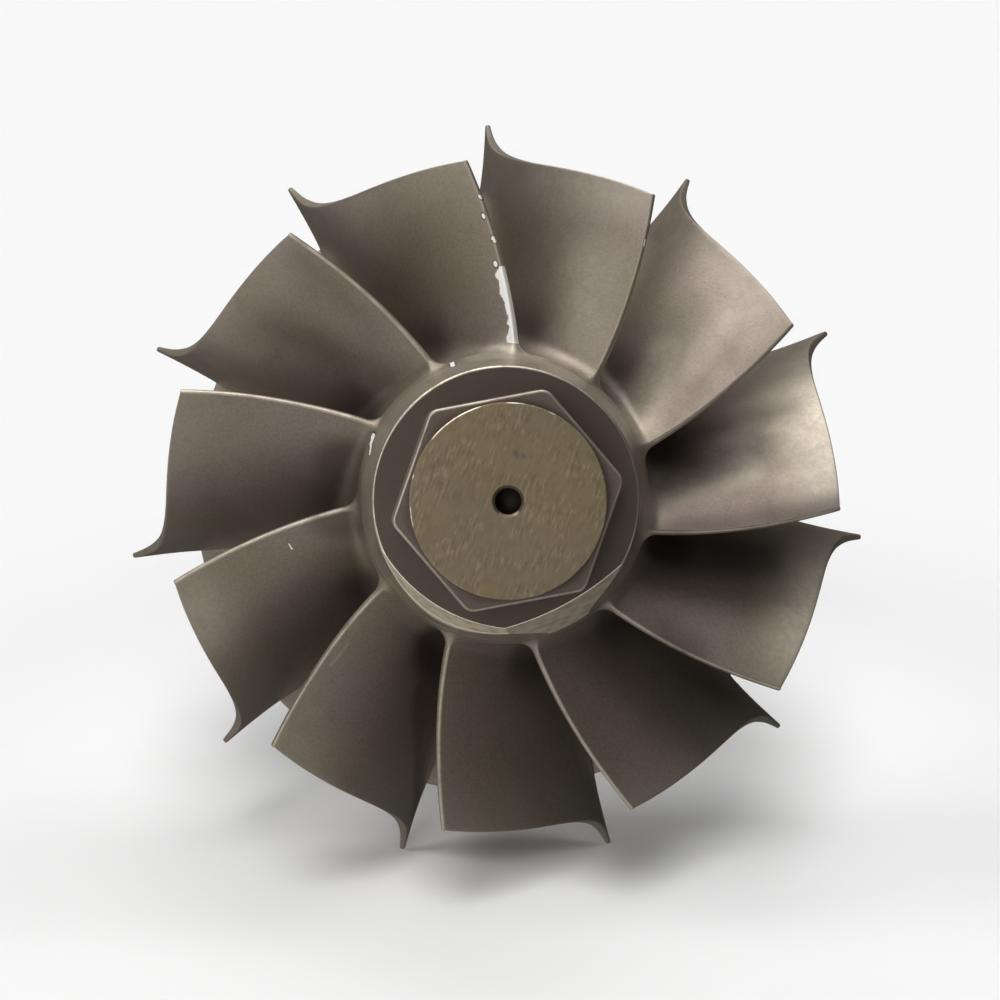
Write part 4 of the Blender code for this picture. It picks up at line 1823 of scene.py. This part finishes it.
@dataclass
class Studio:
    """The pale floor, the surroundings, and soft lights for the wheel, for its shaft and for the floor."""

    floor_half: float = 8.0
    floor_colour: float = 0.86
    backdrop: float = 0.92
    fill_above: float = 0.02
    fill_below: float = 0.06
    horizon_blur: float = 0.1
    lights: tuple[SoftLight, ...] = (
        SoftLight("overhead_box", -117.0, 74.0, 62.0, 3.2),
        SoftLight("right_box", 62.0, 62.0, 40.0, 0.4),
        SoftLight("front_left_box", -34.0, 18.0, 64.0, 1.35),
        SoftLight("front_bounce", 15.0, -32.0, 64.0, 0.82),
        SoftLight("low_left_bounce", -75.0, -38.0, 64.0, 0.75),
        SoftLight("shaft_right_box", 90.0, 38.0, 70.0, 1.0, Receiver.BACK),
        SoftLight("shaft_back_box", 180.0, 38.0, 70.0, 0.9, Receiver.BACK),
        SoftLight("shaft_left_box", -95.0, 30.0, 60.0, 0.45, Receiver.BACK),
        SoftLight("shaft_bounce", 110.0, -45.0, 90.0, 0.3, Receiver.BACK),
        SoftLight("floor_front_low", 0.0, 20.0, 24.0, 0.58, Receiver.FLOOR),
        SoftLight("floor_front_middle", 0.0, 35.0, 24.0, 0.39, Receiver.FLOOR),
        SoftLight("floor_front", 0.0, 50.0, 24.0, 1.6, Receiver.FLOOR),
        SoftLight("floor_front_high", 0.0, 65.0, 24.0, 0.42, Receiver.FLOOR),
        SoftLight("floor_left", -90.0, 15.0, 24.0, 1.65, Receiver.FLOOR),
        SoftLight("floor_right", 90.0, 15.0, 24.0, 1.16, Receiver.FLOOR),
        SoftLight("floor_right_high", 90.0, 75.0, 24.0, 0.2, Receiver.FLOOR),
        SoftLight("floor_back", 180.0, 35.0, 24.0, 0.22, Receiver.FLOOR),
        SoftLight("floor_back_high", 180.0, 80.0, 24.0, 0.33, Receiver.FLOOR),
    )

    def world(self) -> None:
        """Makes the surroundings: dim above the horizon, lighter below it, and pale where they show."""
        world = bpy.data.worlds.new("studio_surroundings")
        world.use_nodes = True
        tree = Tree(world.node_tree)
        towards = tree.add("ShaderNodeTexCoord", {}, {}, output="Generated")
        height = tree.add("ShaderNodeSeparateXYZ", {}, {0: towards}, output="Z")
        horizon = Fit(-self.horizon_blur, self.horizon_blur, self.fill_below, self.fill_above)
        fill = tree.fit(height, horizon)
        seen = tree.add("ShaderNodeLightPath", {}, {}, output="Is Camera Ray")
        strength = fill * (1 - seen) + self.backdrop * seen
        sky = tree.add("ShaderNodeBackground", {}, {"Strength": strength})
        tree.add("ShaderNodeOutputWorld", {}, {"Surface": sky})
        bpy.context.scene.world = world

    def build(self, back: Sequence[bpy.types.Object]) -> None:
        """Makes the floor, the lights and the surroundings.

        Args:
            back: The pieces behind the blades, which have lights of their own.
        """
        half = self.floor_half
        mesh = bpy.data.meshes.new("studio_floor")
        corners = [(-half, -half, 0), (half, -half, 0), (half, half, 0), (-half, half, 0)]
        mesh.from_pydata(corners, [], [(0, 1, 2, 3)])
        floor = bpy.data.objects.new("studio_floor", mesh)
        bpy.context.scene.collection.objects.link(floor)
        material = bpy.data.materials.new("pale_floor")
        material.use_nodes = True
        colour = (self.floor_colour,) * 3 + (1.0,)
        Tree(material.node_tree).surface({"Base Color": colour, "Roughness": 1.0, "Specular IOR Level": 0.0})
        mesh.materials.append(material)
        floor.visible_diffuse = False
        floor.visible_glossy = False
        floor.visible_shadow = False
        for light in self.lights:
            light.build(floor, back)
        self.world()
        bpy.context.scene.view_settings.view_transform = "Standard"


@dataclass(frozen=True)
class Mark:
    """A chip or a patch, from one pixel of the photograph to another, with its width in millimetres."""

    start: tuple[float, float]
    end: tuple[float, float]
    width: float
    strength: float = 1.0

    def streak(self, camera: PhotoCamera, rotor: RotorFrame, trees: Sequence[BVHTree]) -> Streak:
        """Returns the mark as a streak on the surface.

        Args:
            camera: The photograph's camera.
            rotor: Where the rotor stands.
            trees: The surfaces that the mark may lie on.

        Returns:
            The streak between the two surface points that show at the mark's pixels.
        """
        start, end = (camera.find(np.array(pixel, float), rotor, trees) for pixel in (self.start, self.end))
        return Streak(tuple(start), tuple(end), self.width * MM / 2, self.strength)


CAST_MARKS = (
    Mark((480, 196), (481, 198), 0.3),
    Mark((483, 215), (484, 217), 0.34),
    Mark((493, 238), (495, 241), 0.34),
    Mark((495, 263), (496, 265), 0.34),
    Mark((452, 363), (453, 366), 0.46),
    Mark((373, 437), (371, 443), 0.66),
    Mark((371, 444), (370, 453), 0.44),
    Mark((289, 544), (292, 549), 0.16),
    Mark((645, 240), (644, 246), 0.16),
)
# Patches of painted highlight where the blades and the collar catch the light.
PAINTED_LIGHT_PATCHES = (
    Mark((812, 415), (824, 470), 15.0),
    Mark((812, 595), (796, 650), 13.0),
    Mark((690, 355), (735, 315), 13.0, 0.45),
    Mark((203, 606), (216, 628), 12.0, 0.45),
    Mark((572, 335), (588, 270), 11.0, 0.85),
    Mark((486, 354), (528, 354), 5.5, 1.7),
    Mark((670, 492), (745, 468), 6.0, 1.2),
    Mark((630, 425), (662, 352), 6.5, 1.1),
    Mark((545, 180), (630, 200), 9.0, 0.6),
    Mark((649, 470), (648, 525), 6.0, 1.2),
    Mark((331, 665), (341, 653), 0.6, 0.6),
    Mark((343, 650), (348, 644), 0.5, 0.5),
)
# Patches of painted shade in the passages between the blades.
PAINTED_SHADE_PATCHES = (
    Mark((438, 634), (434, 668), 7.0, 1.2),
    Mark((430, 690), (421, 790), 7.5, 1.8),
    Mark((350, 465), (342, 510), 9.0, 1.6),
    Mark((265, 325), (330, 350), 9.0, 0.45),
    Mark((298, 256), (372, 325), 8.0, 0.5),
    Mark((705, 432), (785, 408), 7.0, 0.8),
    Mark((690, 395), (728, 352), 4.5, 0.5),
    Mark((665, 550), (752, 556), 8.0, 1.2),
    Mark((660, 530), (838, 507), 4.5, 0.9),
    Mark((668, 642), (692, 654), 7.0, 0.8),
)
FACE_MARKS = (
    Mark((516, 453), (518, 457), 0.34),
    Mark((523, 455), (524, 457), 0.26),
)
BLADE_RUBS: Mapping[int, tuple[Rub, ...]] = {
    1: (
        Rub(
            (13.8, 14.6, 15.2, 15.5, 16.1, 17.6, 18.4, 19.2, 20.2, 20.5, 21.6),
            (0.95, 0.85, 0.5, 0.7, 0.5, 0.55, 0.7, 0.8, 0.9, 0.35, 0.0),
        ),
    ),
}


def place_piece(name: str, skin: Skin, node: str, rotor: RotorFrame) -> bpy.types.Object:
    """Makes a piece, and lets it ride and stand for its CAD node.

    Args:
        name: The piece's name.
        skin: Its surface.
        node: The CAD node that it stands for.
        rotor: Where the rotor stands.

    Returns:
        The piece.
    """
    piece = skin.build(name, rotor)
    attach(piece, BODY)
    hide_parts(node)
    LOG.info("%s: %d faces, stands for %s", name, len(piece.data.polygons), node)
    return piece


def surface_tree(piece: bpy.types.Object) -> BVHTree:
    """Puts a piece's surface in a form that a ray can be tested against.

    Args:
        piece: The piece.

    Returns:
        Its surface.
    """
    mesh = piece.data
    places = [vertex.co for vertex in mesh.vertices]
    return BVHTree.FromPolygons(places, [tuple(face.vertices) for face in mesh.polygons])


def find_streaks(marks: Sequence[Mark], pieces: Sequence[bpy.types.Object], camera: PhotoCamera,
                 rotor: RotorFrame) -> list[Streak]:
    """Returns marks as streaks on some pieces.

    Args:
        marks: The marks, placed by pixels of the photograph.
        pieces: The pieces that they lie on.
        camera: The photograph's camera.
        rotor: Where the rotor stands.

    Returns:
        The streaks.
    """
    trees = [surface_tree(piece) for piece in pieces]
    return [mark.streak(camera, rotor, trees) for mark in marks]


def main() -> None:
    """Builds the pieces in order: the casting, the nose, the shaft, then the studio."""
    logging.basicConfig(level=logging.INFO, format="%(message)s")
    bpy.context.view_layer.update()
    shaft = Shaft()
    rotor = RotorFrame.from_record(frame["record"], shaft.sizes.thread_end_z)
    camera = PhotoCamera()
    camera.build(rotor)
    core = CoreLine(CoreSizes())
    castings = [
        place_piece("hub_casting", Hub(core).skin(), "hub", rotor),
        place_piece("back_disc_casting", BackDisc(core).skin(), "back_disc", rotor),
        place_piece("nose_collar_casting", Collar(core).skin(), "nose_collar", rotor),
        place_piece("nose_hexagon_casting", NoseHexagon().skin(), "nose_hexagon", rotor),
    ]
    for number in range(1, BladeSizes().count + 1):
        blade = Blade(number, core, rubs=BLADE_RUBS.get(number, ()))
        castings.append(place_piece(f"{blade.name}_casting", blade.skin(), blade.name, rotor))
    face = place_piece("nose_face_turned", NoseFace().skin(), "nose_face", rotor)
    shafts = [
        place_piece("weld_boss_turned", shaft.weld_boss(), "weld_boss", rotor),
        place_piece("seal_boss_turned", shaft.seal_boss(), "seal_boss", rotor),
        place_piece("bearing_journal_ground", shaft.journal(), "bearing_journal", rotor),
        place_piece("compressor_stub_ground", shaft.stub(), "compressor_stub", rotor),
        place_piece("threaded_end_cut", shaft.thread(), "threaded_end", rotor),
    ]
    chips, painted_light, painted_shade = (
        find_streaks(marks, castings, camera, rotor) for marks in (CAST_MARKS, PAINTED_LIGHT_PATCHES, PAINTED_SHADE_PATCHES)
    )
    CastFinish(rotor, chips, painted_light, painted_shade).dress_all(castings)
    TurnedFinish(rotor, find_streaks(FACE_MARKS, [face], camera, rotor)).dress_all([face])
    ShaftFinish(rotor).dress_all(shafts)
    Studio().build([castings[1], *shafts])


if __name__ == "__main__":
    main()
